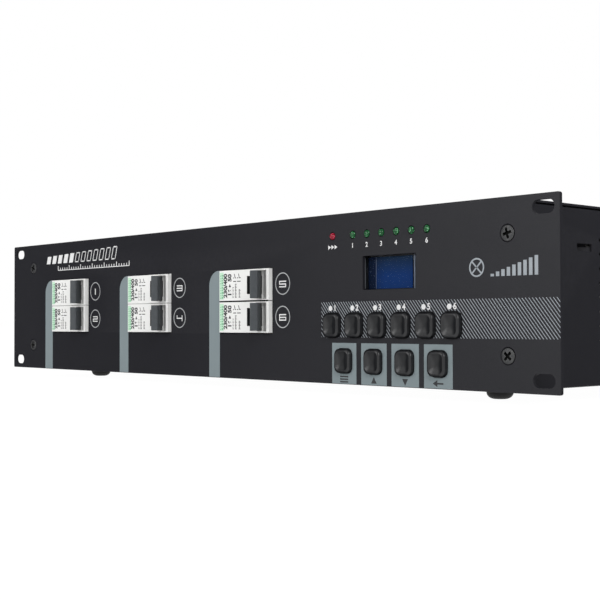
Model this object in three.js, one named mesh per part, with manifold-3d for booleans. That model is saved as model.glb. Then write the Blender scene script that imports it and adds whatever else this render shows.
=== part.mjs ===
import * as THREE from 'three';
import { mergeVertices } from 'three/addons/utils/BufferGeometryUtils.js';
import Module from 'manifold-3d';

// A six-channel dimmer pack, two rack units high.
// Lengths are millimetres. X runs to the right, Y runs back from the front face of
// the panel and Z runs up from the middle of the panel.

// Clearances and cuts that all pieces share
const seatGap = 0.3; // between pieces that rest on each other
const runGap = 0.4; // between pieces that turn or slide
const overrun = 1; // how far a cutting shape passes the wall that it cuts
const weldDistance = 0.0001;

// How finely round shapes are divided
const cornerSteps = 2;
const holeSides = 8;
const pinSides = 6;
const hexSides = 6;
const drumSides = 12;
const wellSides = 14;
const ringSides = 18;

// Front panel
const panel = {
  width: 482.6,
  rackUnits: 2,
  unitHeight: 44.45,
  unitRelief: 0.8, // a panel is this much lower than its rack units
  thickness: 2,
  cornerRadius: 1,
  slotWidth: 12.2,
  slotHeight: 6.5,
  slotInsetX: 8.75,
  slotInsetZ: 5.95,
  screwInsetX: 6, // in from the chassis side
  screwHeightShare: 0.627,
  screwHole: 3.6,
  screwHead: 7.4,
  screwSink: 1.6,
};
const panelHeight = panel.rackUnits * panel.unitHeight - panel.unitRelief;
const halfPanelX = panel.width / 2;
const halfPanelZ = panelHeight / 2;
const onPanelZ = (share) => share * halfPanelZ;

// Folded steel case
const chassis = {
  width: 438,
  depth: 300, // behind the panel
  sheet: 1.2,
  topInset: 0.9, // below the panel's upper edge
  bottomInset: 0.95, // above the panel's lower edge
  bendRadius: 1.6,
  frontFlange: 15,
  topFlange: 12,
  ventLength: 48,
  ventHeight: 3.2,
  ventPitchY: 60,
  ventPitchZ: 6.9,
  ventStart: 61, // behind the panel
  ventEndMargin: 55,
  ventRows: 8,
  ventTopShare: 0.615,
  hookLength: 12,
  hookHeight: 3.5,
  hookStart: 43,
  hookHeightShare: 0.522,
};
const chassisTop = halfPanelZ - chassis.topInset;
const chassisBottom = chassis.bottomInset - halfPanelZ;
const halfChassisX = chassis.width / 2;
const chassisFront = panel.thickness + seatGap;
const chassisBack = panel.thickness + chassis.depth;
const trayTop = chassisTop - chassis.sheet - seatGap;
const floorTop = chassisBottom + chassis.sheet;
const floorSeat = floorTop + seatGap;

const rearPanel = {
  thickness: 1.5,
  lip: 11,
};
const rearFace = chassisBack;
const rearInner = chassisBack - rearPanel.thickness;

// Rubber feet
const foot = {
  topRadius: 8.2,
  bottomRadius: 6.7,
  height: 6.4,
  edgeRadius: 3.4,
  insetX: 39,
  insetY: 34.2,
};

// The controls, placed from the first channel button
const controls = {
  sideInset: 119.6, // from the side of the case
};

// Circuit breakers: moulded housings that lie on their side, two to a window
const breaker = {
  width: 17.6,
  pitchZ: 18,
  pairs: 3,
  pairPitch: 95,
  sideInset: 57.5, // from the side of the case to the first pair
  noseLength: 45,
  labelHeight: 1.5, // in front of the panel
  raisedHeight: 2.4,
  raisedStart: 2, // right of the nose's middle
  raisedRamp: 0.5,
  shoulderDepth: 14.5,
  bodyLength: 80,
  bodySlope: 3,
  bodyBackDepth: 50,
  heelLength: 52,
  heelSlope: 6,
  backDepth: 65,
  rimLength: 2.1,
  mouthWidth: 10,
  mouthHeight: 9,
  mouthLength: 9,
  mouthDepth: 24,
  screwWell: 3.2,
};
const raisedFace = -breaker.raisedHeight;

// Toggle levers: they lean right when off and swing left to on
const lever = {
  hubX: 9.9, // right of the nose's middle
  hubDepth: 3,
  drumRadius: 5.15,
  reach: 11.5,
  rootThickness: 4.4,
  tipThickness: 4.9,
  tipRadius: 0.9,
  width: 15.4,
  stemWidth: 9.6,
  axleRadius: 1.5,
  axleLength: 2,
  offLean: THREE.MathUtils.degToRad(30),
  onLean: THREE.MathUtils.degToRad(32),
  seatAngle: THREE.MathUtils.degToRad(55),
};

// Mounting rails for the breakers
const rail = {
  width: 35,
  hatWidth: 25,
  depth: 7.5,
  sheet: 1,
  flangeGrip: 1.5, // how far a housing's hooks reach over the flanges
  hookDepth: 1.5,
  headroom: 8,
  footLength: 22,
};

// Push buttons
const button = {
  flange: 0.9,
  flangeThickness: 1.2,
  standOut: 1.7,
  crownHeight: 0.8,
  crownInset: 1.1,
  cornerRadius: 3.4,
  stemSize: 4,
  stemRadius: 1,
  travel: 1,
};
const channelButton = {
  width: 12,
  height: 12.8,
  pitch: 16.2,
  heightShare: -0.311,
};
const menuButton = {
  names: ['button_menu', 'button_up', 'button_down', 'button_back'],
  width: 11.8,
  height: 12.9,
  offset: 8.6, // right of the first channel button
  pitch: 21.3,
  heightShare: -0.7265,
};

// Display
const display = {
  width: 36.4,
  height: 17.1,
  cornerRadius: 0.6,
  offset: 40.3, // right of the first channel button
  zShare: 0.2894,
  lensMargin: 3,
  lensThickness: 1,
  bezelMargin: 6,
  bezelDepth: 5,
  glassRecess: 0.8,
  boardMarginX: 3,
  boardMarginZ: 4,
};

// Indicator lights
const led = {
  radius: 1.85,
  holeRadius: 2.1,
  standOut: 0.9,
  blockWidth: 5.4,
  channelOffset: 15, // right of the first channel button
  pitch: 10.1,
  zShare: 0.74,
};

// Control board behind the panel
const board = {
  thickness: 1.6,
  spacer: 12,
  spacerRadius: 2.6,
  leftMargin: 12, // left of the first channel button
  margin: 3,
  spacerInset: 4.5,
  switchSize: 6,
  switchHeight: 3.5,
  plungerRadius: 1.7,
};
const boardFront = panel.thickness + board.spacer;

// Power electronics on the floor of the case
const powerBoard = {
  leftInset: 18,
  sinkGap: 14,
  width: 120,
  start: 95,
  thickness: 1.6,
  spacer: 5,
  spacerRadius: 3,
  spacerInset: 7,
  chokeRowShare: 0.34, // of the board's width, from its front edge
};
const choke = {
  outerRadius: 17,
  innerRadius: 8.5,
  height: 16,
  round: 3,
  sides: 10,
};
const heatSink = {
  width: 78,
  length: 100,
  height: 52,
  base: 6,
  fins: 11,
  finThickness: 1.8,
  fanDistance: 12,
};
const transformer = {
  coreLength: 50,
  coreWidth: 22,
  coreHeight: 42,
  coilWidth: 38,
  coilHeight: 30,
  coilLength: 30,
  footLength: 66,
  footThickness: 1.5,
  sideInset: 14,
  start: 70,
};
const terminal = {
  width: 30,
  length: 18,
  height: 20,
  ways: 5,
  wayRadius: 1.8,
  wayDepth: 12,
  glandRoom: 46.5, // from the block to the rear panel
};

// Rear sockets
const outlet = {
  pitch: 47,
  flangeWidth: 46,
  flangeHeight: 50,
  flangeThickness: 3,
  flangeRadius: 4,
  cupRadius: 21.7,
  wellRadius: 19.75,
  wellDepth: 17.5,
  floor: 5,
  pinRadius: 2.6,
  pinPitch: 19,
  pinDepth: 4,
  clipWidth: 4.4,
  clipReach: 3.2,
  clipDepth: 11,
  ribWidth: 5,
  ribReach: 1.9,
  sideInset: 14,
};
const signal = {
  flangeWidth: 26,
  flangeHeight: 31,
  flangeThickness: 2,
  flangeRadius: 3,
  bodyRadius: 11.8,
  bodyDepth: 19,
  wellRadius: 9.8,
  wellDepth: 13,
  pinRadius: 1.2,
  pinCircle: 5.6,
  pinLength: 10,
  insertStandOut: 1,
  insertRadius: 10,
  contacts: 3,
  holeDepth: 8,
  latchWidth: 6,
  latchHeight: 3,
  spacing: 4,
};
const gland = {
  threadRadius: 12.2,
  hexRadius: 15.5,
  hexLength: 6,
  capRadius: 13.6,
  capMouthRadius: 10.4,
  capLength: 14,
  boreRadius: 8,
  innerLength: 11,
  nutLength: 5,
  nutRadius: 15,
};

// Cooling fan
const fan = {
  size: 60,
  depth: 20,
  boreRadius: 28,
  cornerRadius: 4,
  holeInset: 5,
  holeRadius: 2.1,
  spiderThickness: 3,
  spiderRadius: 11.5,
  spokes: 3,
  spokeWidth: 3.4,
  hubRadius: 11,
  hubLength: 12,
  shaftRadius: 1.5,
  shaftLength: 2.4,
  blades: 7,
  bladeTip: 25.4,
  bladeThickness: 1.3,
  rootChord: 12,
  tipChord: 15,
  rootPitch: THREE.MathUtils.degToRad(48),
  tipPitch: THREE.MathUtils.degToRad(28),
  camber: 1.2,
  bladeSections: 3,
};
const guard = {
  wireRadius: 0.85,
  rings: 3,
  firstRadius: 9,
  lastRadius: 25,
  ringSteps: 14,
  arms: 4,
  eyeRadius: 3.4,
  wireSides: 4,
};

const channels = 2 * breaker.pairs; // one for each breaker
const rearGap = 4; // between neighbouring fittings on the rear panel
const outletFirstX = -halfChassisX + outlet.sideInset + outlet.flangeWidth / 2;
const outletLastX = outletFirstX + (channels - 1) * outlet.pitch;
const fanX = outletLastX + outlet.flangeWidth / 2 + rearGap + fan.size / 2;
const signalX = fanX + fan.size / 2 + rearGap + signal.flangeWidth / 2;
const glandX = signalX + signal.flangeWidth / 2 + rearGap + gland.hexRadius;

const powerBoardEnd = fanX - heatSink.width / 2 - powerBoard.sinkGap;
const powerBoardLength = powerBoardEnd + halfChassisX - powerBoard.leftInset;

const paint = (color, roughness, metalness = 0) =>
  new THREE.MeshStandardMaterial({ color, roughness, metalness });

const pack = new THREE.Group();

// Adds one named piece to a group
function place(name, geometry, material, x = 0, y = 0, z = 0, parent = pack) {
  const piece = new THREE.Mesh(geometry, material);
  piece.name = name;
  piece.position.set(x, y, z);
  parent.add(piece);
  return piece;
}

// Solid operations
const wasm = await Module();
wasm.setup();

function solidOf(geometry) {
  const plain = geometry.clone();
  plain.deleteAttribute('normal');
  plain.deleteAttribute('uv');
  const merged = mergeVertices(plain, weldDistance);
  const vertProperties = new Float32Array(merged.attributes.position.array);
  const triVerts = new Uint32Array(merged.index.array);
  return new wasm.Manifold(new wasm.Mesh({ numProp: 3, vertProperties, triVerts }));
}

function geometryOf(solid) {
  const mesh = solid.getMesh();
  const geometry = new THREE.BufferGeometry();
  geometry.setAttribute('position', new THREE.BufferAttribute(mesh.vertProperties, 3));
  geometry.setIndex(new THREE.BufferAttribute(mesh.triVerts, 1));
  geometry.computeVertexNormals();
  return geometry;
}

function joined(base, ...others) {
  return geometryOf(others.reduce((sum, other) => sum.add(solidOf(other)), solidOf(base)));
}

function cutAway(base, ...tools) {
  return geometryOf(tools.reduce((rest, tool) => rest.subtract(solidOf(tool)), solidOf(base)));
}

// Outlines, as lists of points
function arc(x, y, radius, from, to, steps) {
  const points = [];
  for (let i = 0; i <= steps; i += 1) {
    const angle = from + ((to - from) * i) / steps;
    points.push(new THREE.Vector2(x + radius * Math.cos(angle), y + radius * Math.sin(angle)));
  }
  return points;
}

function circle(x, y, radius, sides) {
  return arc(x, y, radius, 0, 2 * Math.PI, sides).slice(0, sides);
}

function roundedRectangle(x, y, width, height, radius, steps = cornerSteps) {
  const quarter = Math.PI / 2;
  const corners = [[1, 1], [-1, 1], [-1, -1], [1, -1]];
  return corners.flatMap(([signX, signY], turn) => arc(
    x + signX * (width / 2 - radius),
    y + signY * (height / 2 - radius),
    radius,
    turn * quarter,
    (turn + 1) * quarter,
    steps,
  ));
}

function slotOutline(x, y, width, height, steps = cornerSteps) {
  const radius = height / 2;
  const reach = width / 2 - radius;
  return [
    ...arc(x + reach, y, radius, -Math.PI / 2, Math.PI / 2, 2 * steps),
    ...arc(x - reach, y, radius, Math.PI / 2, (3 * Math.PI) / 2, 2 * steps),
  ];
}

function rectangle(x, y, width, height) {
  const corners = [[1, 1], [-1, 1], [-1, -1], [1, -1]];
  return corners.map(([signX, signY]) => (
    new THREE.Vector2(x + (signX * width) / 2, y + (signY * height) / 2)
  ));
}

// Prisms: along Z, back along Y, or along X
function extruded(outline, length) {
  const shape = new THREE.Shape(outline);
  return new THREE.ExtrudeGeometry(shape, { depth: length, bevelEnabled: false });
}

function alongZ(outline, length) {
  return extruded(outline, length).translate(0, 0, -length / 2);
}

function alongY(outline, length) {
  return extruded(outline, length).rotateX(Math.PI / 2).translate(0, length, 0);
}

// A plate that runs back from Y = 0, with holes through it
function pierced(outline, thickness, holes) {
  const tools = holes.map((hole) => (
    alongY(hole, thickness + 2 * overrun).translate(0, -overrun, 0)
  ));
  return cutAway(alongY(outline, thickness), ...tools);
}

function alongX(outline, length) {
  const turn = new THREE.Matrix4().makeBasis(
    new THREE.Vector3(0, 1, 0),
    new THREE.Vector3(0, 0, 1),
    new THREE.Vector3(1, 0, 0),
  );
  return extruded(outline, length).applyMatrix4(turn).translate(-length / 2, 0, 0);
}

function block(fromX, toX, fromY, toY, fromZ, toZ) {
  return new THREE.BoxGeometry(toX - fromX, toY - fromY, toZ - fromZ)
    .translate((fromX + toX) / 2, (fromY + toY) / 2, (fromZ + toZ) / 2);
}

// A closed body of revolution about Y from [radius, y] pairs
function turned(profile, sides) {
  const points = profile.map(([radius, y]) => new THREE.Vector2(radius, y));
  return new THREE.LatheGeometry(points, sides);
}

// A closed skin over rings of equally many points, first to last
function skinned(rings) {
  const sides = rings[0].length;
  const positions = rings.flat().flatMap((point) => [point.x, point.y, point.z]);
  const faces = [];
  for (let ring = 0; ring < rings.length - 1; ring += 1) {
    for (let side = 0; side < sides; side += 1) {
      const next = (side + 1) % sides;
      const a = ring * sides + side;
      const b = ring * sides + next;
      faces.push(a, b, b + sides, a, b + sides, a + sides);
    }
  }
  const last = (rings.length - 1) * sides;
  for (let side = 1; side < sides - 1; side += 1) {
    faces.push(0, side + 1, side);
    faces.push(last, last + side, last + side + 1);
  }
  const geometry = new THREE.BufferGeometry();
  geometry.setAttribute('position', new THREE.Float32BufferAttribute(positions, 3));
  geometry.setIndex(faces);
  geometry.computeVertexNormals();
  return geometry;
}

// Places on the panel
const breakerX = Array.from({ length: breaker.pairs }, (_, pair) => (
  -halfChassisX + breaker.sideInset + pair * breaker.pairPitch
));
const controlsX = halfChassisX - controls.sideInset;
const displayX = controlsX + display.offset;
const displayZ = onPanelZ(display.zShare);
const channelLedX = Array.from({ length: channels }, (_, channel) => (
  controlsX + led.channelOffset + channel * led.pitch
));
const ledZ = onPanelZ(led.zShare);
const channelButtons = Array.from({ length: channels }, (_, channel) => ({
  name: `button_channel_${channel + 1}`,
  x: controlsX + channel * channelButton.pitch,
  z: onPanelZ(channelButton.heightShare),
  width: channelButton.width,
  height: channelButton.height,
}));
const menuButtons = menuButton.names.map((name, index) => ({
  name,
  x: controlsX + menuButton.offset + index * menuButton.pitch,
  z: onPanelZ(menuButton.heightShare),
  width: menuButton.width,
  height: menuButton.height,
}));
const buttons = [...channelButtons, ...menuButtons];

const boardLeft = controlsX - board.leftMargin;
const boardRight = halfChassisX - chassis.frontFlange - board.margin;
const boardTop = trayTop - chassis.sheet - board.margin;
const boardBottom = floorTop + board.margin;

// Front panel with its windows, slots and holes
function frontPanel() {
  const slotX = halfPanelX - panel.slotInsetX;
  const slotZ = halfPanelZ - panel.slotInsetZ;
  const screwX = halfChassisX - panel.screwInsetX;
  const screwZ = onPanelZ(panel.screwHeightShare);
  const windowWidth = breaker.noseLength + 2 * seatGap;
  const windowHeight = breaker.pitchZ + breaker.width + 2 * seatGap;
  const holes = [];
  const sinks = [];
  for (const signX of [-1, 1]) {
    for (const signZ of [-1, 1]) {
      holes.push(slotOutline(signX * slotX, signZ * slotZ, panel.slotWidth, panel.slotHeight));
      holes.push(circle(signX * screwX, signZ * screwZ, panel.screwHole / 2, holeSides));
      sinks.push(turned([
        [0, -overrun],
        [panel.screwHead / 2 + overrun, -overrun],
        [panel.screwHole / 2, panel.screwSink],
        [0, panel.screwSink],
      ], holeSides).translate(signX * screwX, 0, signZ * screwZ));
    }
  }
  for (const x of breakerX) {
    holes.push(rectangle(x, 0, windowWidth, windowHeight));
  }
  holes.push(roundedRectangle(
    displayX,
    displayZ,
    display.width,
    display.height,
    display.cornerRadius,
    1,
  ));
  for (const key of buttons) {
    holes.push(roundedRectangle(key.x, key.z, key.width, key.height, button.cornerRadius));
  }
  for (const x of [controlsX, ...channelLedX]) {
    holes.push(circle(x, ledZ, led.holeRadius, holeSides));
  }
  const outline = roundedRectangle(0, 0, panel.width, panelHeight, panel.cornerRadius);
  return cutAway(pierced(outline, panel.thickness, holes), ...sinks);
}

// Tray: floor, vented sides, flanges for the lid and for the front panel
function chassisTray() {
  const { sheet, bendRadius, topFlange } = chassis;
  const length = chassisBack - chassisFront;
  const half = halfChassisX;
  const outside = [
    new THREE.Vector2(half - topFlange, trayTop),
    ...arc(half - bendRadius, trayTop - bendRadius, bendRadius, Math.PI / 2, 0, cornerSteps),
    ...arc(half - bendRadius, chassisBottom + bendRadius, bendRadius, 0, -Math.PI / 2, cornerSteps),
  ];
  const inside = [
    new THREE.Vector2(half - sheet, floorTop),
    new THREE.Vector2(half - sheet, trayTop - sheet),
    new THREE.Vector2(half - topFlange, trayTop - sheet),
  ];
  const mirror = (points) => points.map(({ x, y }) => new THREE.Vector2(-x, y)).reverse();
  const profile = [...outside, ...mirror(outside), ...mirror(inside), ...inside];
  const shell = alongY(profile, length).translate(0, chassisFront, 0);

  const flangeTop = trayTop - sheet / 2;
  const flangeBottom = chassisBottom + sheet / 2;
  const screwX = half - panel.screwInsetX;
  const screwZ = onPanelZ(panel.screwHeightShare);
  const flanges = [-1, 1].map((side) => pierced(
    rectangle(
      side * (half - sheet / 2 - chassis.frontFlange / 2),
      (flangeTop + flangeBottom) / 2,
      chassis.frontFlange,
      flangeTop - flangeBottom,
    ),
    sheet,
    [-1, 1].map((level) => circle(side * screwX, level * screwZ, panel.screwHole / 2, holeSides)),
  ).translate(0, chassisFront, 0));

  const spacerX = [-half + powerBoard.leftInset + powerBoard.spacerInset];
  spacerX.push(spacerX[0] + powerBoardLength - 2 * powerBoard.spacerInset);
  const spacerY = [powerBoard.start + powerBoard.spacerInset];
  spacerY.push(spacerY[0] + powerBoard.width - 2 * powerBoard.spacerInset);
  const spacerHeight = powerBoard.spacer - seatGap + sheet / 2;
  const spacers = spacerX.flatMap((x) => spacerY.map((y) => (
    alongZ(circle(x, y, powerBoard.spacerRadius, pinSides), spacerHeight)
      .translate(0, 0, floorTop - sheet / 2 + spacerHeight / 2)
  )));

  const cuts = [];
  const across = chassis.width + 2 * overrun;
  const ventTop = onPanelZ(chassis.ventTopShare);
  const ventSpan = chassis.depth - chassis.ventStart - chassis.ventEndMargin;
  const ventColumns = Math.floor((ventSpan - chassis.ventLength) / chassis.ventPitchY) + 1;
  for (let column = 0; column < ventColumns; column += 1) {
    for (let row = 0; row < chassis.ventRows; row += 1) {
      const y = panel.thickness + chassis.ventStart + chassis.ventLength / 2
        + column * chassis.ventPitchY;
      const z = ventTop - row * chassis.ventPitchZ;
      cuts.push(alongX(slotOutline(y, z, chassis.ventLength, chassis.ventHeight, 1), across));
    }
  }
  cuts.push(alongX(rectangle(
    panel.thickness + chassis.hookStart + chassis.hookLength / 2,
    onPanelZ(chassis.hookHeightShare),
    chassis.hookLength,
    chassis.hookHeight,
  ), across));
  return cutAway(joined(shell, ...flanges, ...spacers), ...cuts);
}

function topCover() {
  const length = chassisBack - chassisFront;
  const lid = block(
    -halfChassisX,
    halfChassisX,
    0,
    length,
    chassisTop - chassis.sheet,
    chassisTop,
  );
  return lid.translate(0, chassisFront, 0);
}

// Rear panel with bent lips and the openings of its fittings
function rearPlate() {
  const half = halfChassisX - chassis.sheet - seatGap;
  const top = trayTop - chassis.sheet - seatGap;
  const bottom = floorSeat;
  const t = rearPanel.thickness;
  const profile = [
    new THREE.Vector2(rearFace, bottom),
    new THREE.Vector2(rearFace, top),
    new THREE.Vector2(rearFace - rearPanel.lip, top),
    new THREE.Vector2(rearFace - rearPanel.lip, top - t),
    new THREE.Vector2(rearInner, top - t),
    new THREE.Vector2(rearInner, bottom + t),
    new THREE.Vector2(rearFace - rearPanel.lip, bottom + t),
    new THREE.Vector2(rearFace - rearPanel.lip, bottom),
  ];
  const plate = alongX(profile, 2 * half);
  const through = (outline) => (
    alongY(outline, t + 2 * overrun).translate(0, rearInner - overrun, 0)
  );
  const cuts = outletX.map((x) => through(circle(x, 0, outlet.cupRadius + seatGap, wellSides)));
  for (const z of signalZ) {
    cuts.push(through(circle(signalX, z, signal.bodyRadius + seatGap, wellSides)));
  }
  cuts.push(through(circle(glandX, 0, gland.threadRadius + seatGap, wellSides)));
  cuts.push(through(circle(fanX, 0, fan.boreRadius, ringSides)));
  return cutAway(plate, ...cuts);
}

function rubberFoot() {
  const { topRadius, bottomRadius, height, edgeRadius } = foot;
  const rounded = arc(
    bottomRadius - edgeRadius,
    edgeRadius,
    edgeRadius,
    -Math.PI / 2,
    0,
    2 * cornerSteps,
  ).map(({ x, y }) => [x, y]);
  return turned([
    [0, 0],
    ...rounded,
    [topRadius, height],
    [0, height],
  ], drumSides).rotateX(Math.PI / 2);
}

// Breaker housing: moulded profile, lever seat, slot, bearings, terminals
function breakerBody() {
  const nose = breaker.noseLength / 2;
  const body = breaker.bodyLength / 2;
  const heel = breaker.heelLength / 2;
  const notch = rail.width / 2 + seatGap;
  const mouth = notch - rail.flangeGrip;
  const flangeFront = breaker.backDepth - rail.hookDepth - rail.sheet - 2 * seatGap;
  const flangeBack = breaker.backDepth - rail.hookDepth;
  const half = [
    [nose, breaker.shoulderDepth],
    [body, breaker.shoulderDepth + breaker.bodySlope],
    [body, breaker.bodyBackDepth],
    [heel, breaker.bodyBackDepth + breaker.heelSlope],
    [heel, breaker.backDepth],
    [mouth, breaker.backDepth],
    [mouth, flangeBack],
    [notch, flangeBack],
    [notch, flangeFront],
  ];
  const mirrored = half.map(([x, y]) => [-x, y]).reverse();
  const front = [
    [-nose, -breaker.labelHeight],
    [breaker.raisedStart, -breaker.labelHeight],
    [breaker.raisedStart + breaker.raisedRamp, raisedFace],
    [nose, raisedFace],
  ];
  const outline = [...front, ...half, ...mirrored].map(([x, y]) => new THREE.Vector2(x, y));
  const housing = alongZ(outline, breaker.width);

  const { hubX, hubDepth } = lever;
  const rise = hubDepth - raisedFace;
  const seatRadius = leverSeatRadius(rise);
  const seatStart = Math.acos(rise / seatRadius);
  const seat = arc(
    hubX,
    hubDepth,
    seatRadius,
    seatStart - Math.PI / 2,
    lever.seatAngle - Math.PI / 2,
    2 * cornerSteps,
  );
  const seatEnd = seat[seat.length - 1];
  const rimStart = nose - breaker.rimLength;
  const valleyBottom = new THREE.Vector2(seatEnd.x + runGap, seatEnd.y + runGap);
  const valley = new THREE.QuadraticBezierCurve(
    valleyBottom,
    new THREE.Vector2((valleyBottom.x + rimStart) / 2, valleyBottom.y),
    new THREE.Vector2(rimStart, raisedFace),
  ).getPoints(2 * cornerSteps);
  const recess = alongZ([
    new THREE.Vector2(seat[0].x, raisedFace - overrun),
    ...seat,
    ...valley,
    new THREE.Vector2(rimStart, raisedFace - overrun),
  ], lever.width + 2 * seatGap);

  const slotWidth = lever.stemWidth + 2 * seatGap;
  const pocket = alongZ(circle(hubX, hubDepth, seatRadius, drumSides), slotWidth);
  const slotLeft = hubX - leverReachAtFace(rise);
  const slot = block(
    slotLeft,
    seatEnd.x,
    raisedFace - overrun,
    hubDepth,
    -slotWidth / 2,
    slotWidth / 2,
  );
  const bearingLength = lever.stemWidth + 2 * lever.axleLength + 2 * seatGap;
  const bearing = alongZ(
    circle(hubX, hubDepth, lever.axleRadius + seatGap, holeSides),
    bearingLength,
  );
  const terminals = [-1, 1].flatMap((side) => {
    const inner = body - breaker.mouthLength;
    const wellX = body - breaker.mouthLength / 2;
    const well = alongY(
      circle(0, 0, breaker.screwWell, pinSides),
      breaker.mouthDepth - breaker.shoulderDepth + overrun,
    ).translate(side * wellX, breaker.shoulderDepth, 0);
    const entry = new THREE.BoxGeometry(
      breaker.mouthLength + overrun,
      breaker.mouthHeight,
      breaker.mouthWidth,
    ).translate(
      side * (inner + (breaker.mouthLength + overrun) / 2),
      breaker.mouthDepth + breaker.mouthHeight / 2,
      0,
    );
    return [well, entry];
  });
  return cutAway(housing, recess, pocket, slot, bearing, ...terminals);
}

// The wide part of a lever clears the raised face by runGap when it is on
function paddleInnerReach(offset, rise) {
  return (rise + runGap - offset * Math.sin(lever.onLean)) / Math.cos(lever.onLean);
}

// Radius that the inner corner of a lever sweeps, less the running gap
function leverSeatRadius(rise) {
  const side = lever.rootThickness / 2;
  return Math.hypot(side, paddleInnerReach(side, rise)) - runGap;
}

// How far left of the hub a lever that is on passes through the raised face
function leverReachAtFace(rise) {
  const side = lever.rootThickness / 2;
  const reach = (rise + side * Math.sin(lever.onLean)) / Math.cos(lever.onLean);
  return reach * Math.sin(lever.onLean) + side * Math.cos(lever.onLean) + seatGap;
}

// Toggle lever: drum, stem, wide paddle and its two stub axles, drawn pointing forward
function toggleLever() {
  const rise = lever.hubDepth - raisedFace;
  const root = lever.rootThickness / 2;
  const tip = lever.tipThickness / 2;
  const corner = lever.tipRadius;
  const tipCorners = [
    ...arc(tip - corner, corner - lever.reach, corner, 0, -Math.PI / 2, cornerSteps),
    ...arc(corner - tip, corner - lever.reach, corner, -Math.PI / 2, -Math.PI, cornerSteps),
  ];
  const paddle = alongZ([
    new THREE.Vector2(root, -paddleInnerReach(root, rise)),
    ...tipCorners,
    new THREE.Vector2(-root, -paddleInnerReach(-root, rise)),
  ], lever.width);
  const stemEnd = (lever.reach + paddleInnerReach(-root, rise)) / 2;
  const stem = block(-root, root, -stemEnd, 0, -lever.stemWidth / 2, lever.stemWidth / 2);
  const drum = alongZ(circle(0, 0, lever.drumRadius, drumSides), lever.stemWidth);
  const axle = alongZ(
    circle(0, 0, lever.axleRadius, holeSides),
    lever.stemWidth + 2 * lever.axleLength,
  );
  return joined(drum, stem, paddle, axle);
}

// Top-hat rail, upright, with a foot on the floor of the case
function breakerRail() {
  const height = trayTop - rail.headroom - floorSeat;
  const edge = rail.width / 2;
  const hat = rail.hatWidth / 2;
  const { depth, sheet } = rail;
  const half = [
    [edge, 0],
    [edge, sheet],
    [hat, sheet],
    [hat, depth],
  ];
  const inner = [
    [hat - sheet, 0],
    [hat - sheet, depth - sheet],
  ];
  const mirror = (points) => points.map(([x, y]) => [-x, y]).reverse();
  const outline = [...half, ...mirror(half), ...inner.map(([x, y]) => [-x, y]), ...mirror(
    inner.map(([x, y]) => [-x, y]),
  )].map(([x, y]) => new THREE.Vector2(x, y));
  const hatRail = alongZ(outline, height).translate(0, 0, floorSeat + height / 2);
  const footBack = depth + rail.footLength;
  const shelf = block(-hat, hat, depth - sheet / 2, footBack, floorSeat, floorSeat + sheet);
  return joined(hatRail, shelf);
}

// Push button: stem, flange behind the panel, skirt and crowned cap
function pushButton(width, height) {
  const capWidth = width - 2 * seatGap;
  const capHeight = height - 2 * seatGap;
  const switchTop = boardFront - seatGap - board.switchHeight - 2 * board.plungerRadius;
  const flangeFront = panel.thickness + seatGap;
  const flangeBack = flangeFront + button.flangeThickness;
  const ring = (y, ringWidth, ringHeight, radius) => (
    roundedRectangle(0, 0, ringWidth, ringHeight, radius)
      .map((point) => new THREE.Vector3(point.x, y, point.y))
  );
  const flangeWidth = width + 2 * button.flange;
  const flangeHeight = height + 2 * button.flange;
  const crownWidth = capWidth - 2 * button.crownInset;
  const crownHeight = capHeight - 2 * button.crownInset;
  const capRadius = button.cornerRadius - seatGap;
  const crownRadius = capRadius - button.crownInset;
  return skinned([
    ring(switchTop - button.travel, button.stemSize, button.stemSize, button.stemRadius),
    ring(flangeBack, button.stemSize, button.stemSize, button.stemRadius),
    ring(flangeBack, flangeWidth, flangeHeight, capRadius),
    ring(flangeFront, flangeWidth, flangeHeight, capRadius),
    ring(flangeFront, capWidth, capHeight, capRadius),
    ring(-button.standOut, capWidth, capHeight, capRadius),
    ring(-button.standOut - button.crownHeight, crownWidth, crownHeight, crownRadius),
  ]);
}

// Display: a framed glass on its own small board, between the lens and the control board
const lensBack = panel.thickness + seatGap + display.lensThickness;
function displayModule() {
  const width = display.width + 2 * display.bezelMargin;
  const height = display.height + 2 * display.boardMarginZ;
  const front = lensBack + seatGap;
  const back = boardFront - seatGap;
  const bezel = alongY(
    rectangle(0, 0, width, height),
    display.bezelDepth,
  ).translate(0, front, 0);
  const recess = alongY(
    rectangle(0, 0, display.width, display.height),
    display.glassRecess + overrun,
  ).translate(0, front - overrun, 0);
  const carrier = block(
    -width / 2 + display.boardMarginX,
    width / 2 - display.boardMarginX,
    front + display.bezelDepth / 2,
    back,
    -display.height / 2,
    display.height / 2,
  );
  return joined(cutAway(bezel, recess), carrier);
}

function displayLens() {
  const width = display.width + 2 * display.lensMargin;
  const height = display.height + 2 * display.lensMargin;
  return alongY(rectangle(0, 0, width, height), display.lensThickness);
}

// One light: a round body that ends in a low dome
function ledDome() {
  const { radius, standOut } = led;
  const domeSteps = 2;
  const dome = Array.from({ length: domeSteps + 1 }, (_, step) => {
    const angle = (step / domeSteps) * (Math.PI / 2);
    return [radius * Math.sin(angle), -standOut * Math.cos(angle)];
  });
  const back = panel.thickness + seatGap + overrun;
  return turned([...dome, [radius, back], [0, back]], holeSides);
}

function ledBlock(fromX, toX) {
  return block(
    fromX - led.blockWidth / 2,
    toX + led.blockWidth / 2,
    panel.thickness + seatGap,
    boardFront - seatGap,
    -led.blockWidth / 2,
    led.blockWidth / 2,
  );
}

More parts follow.
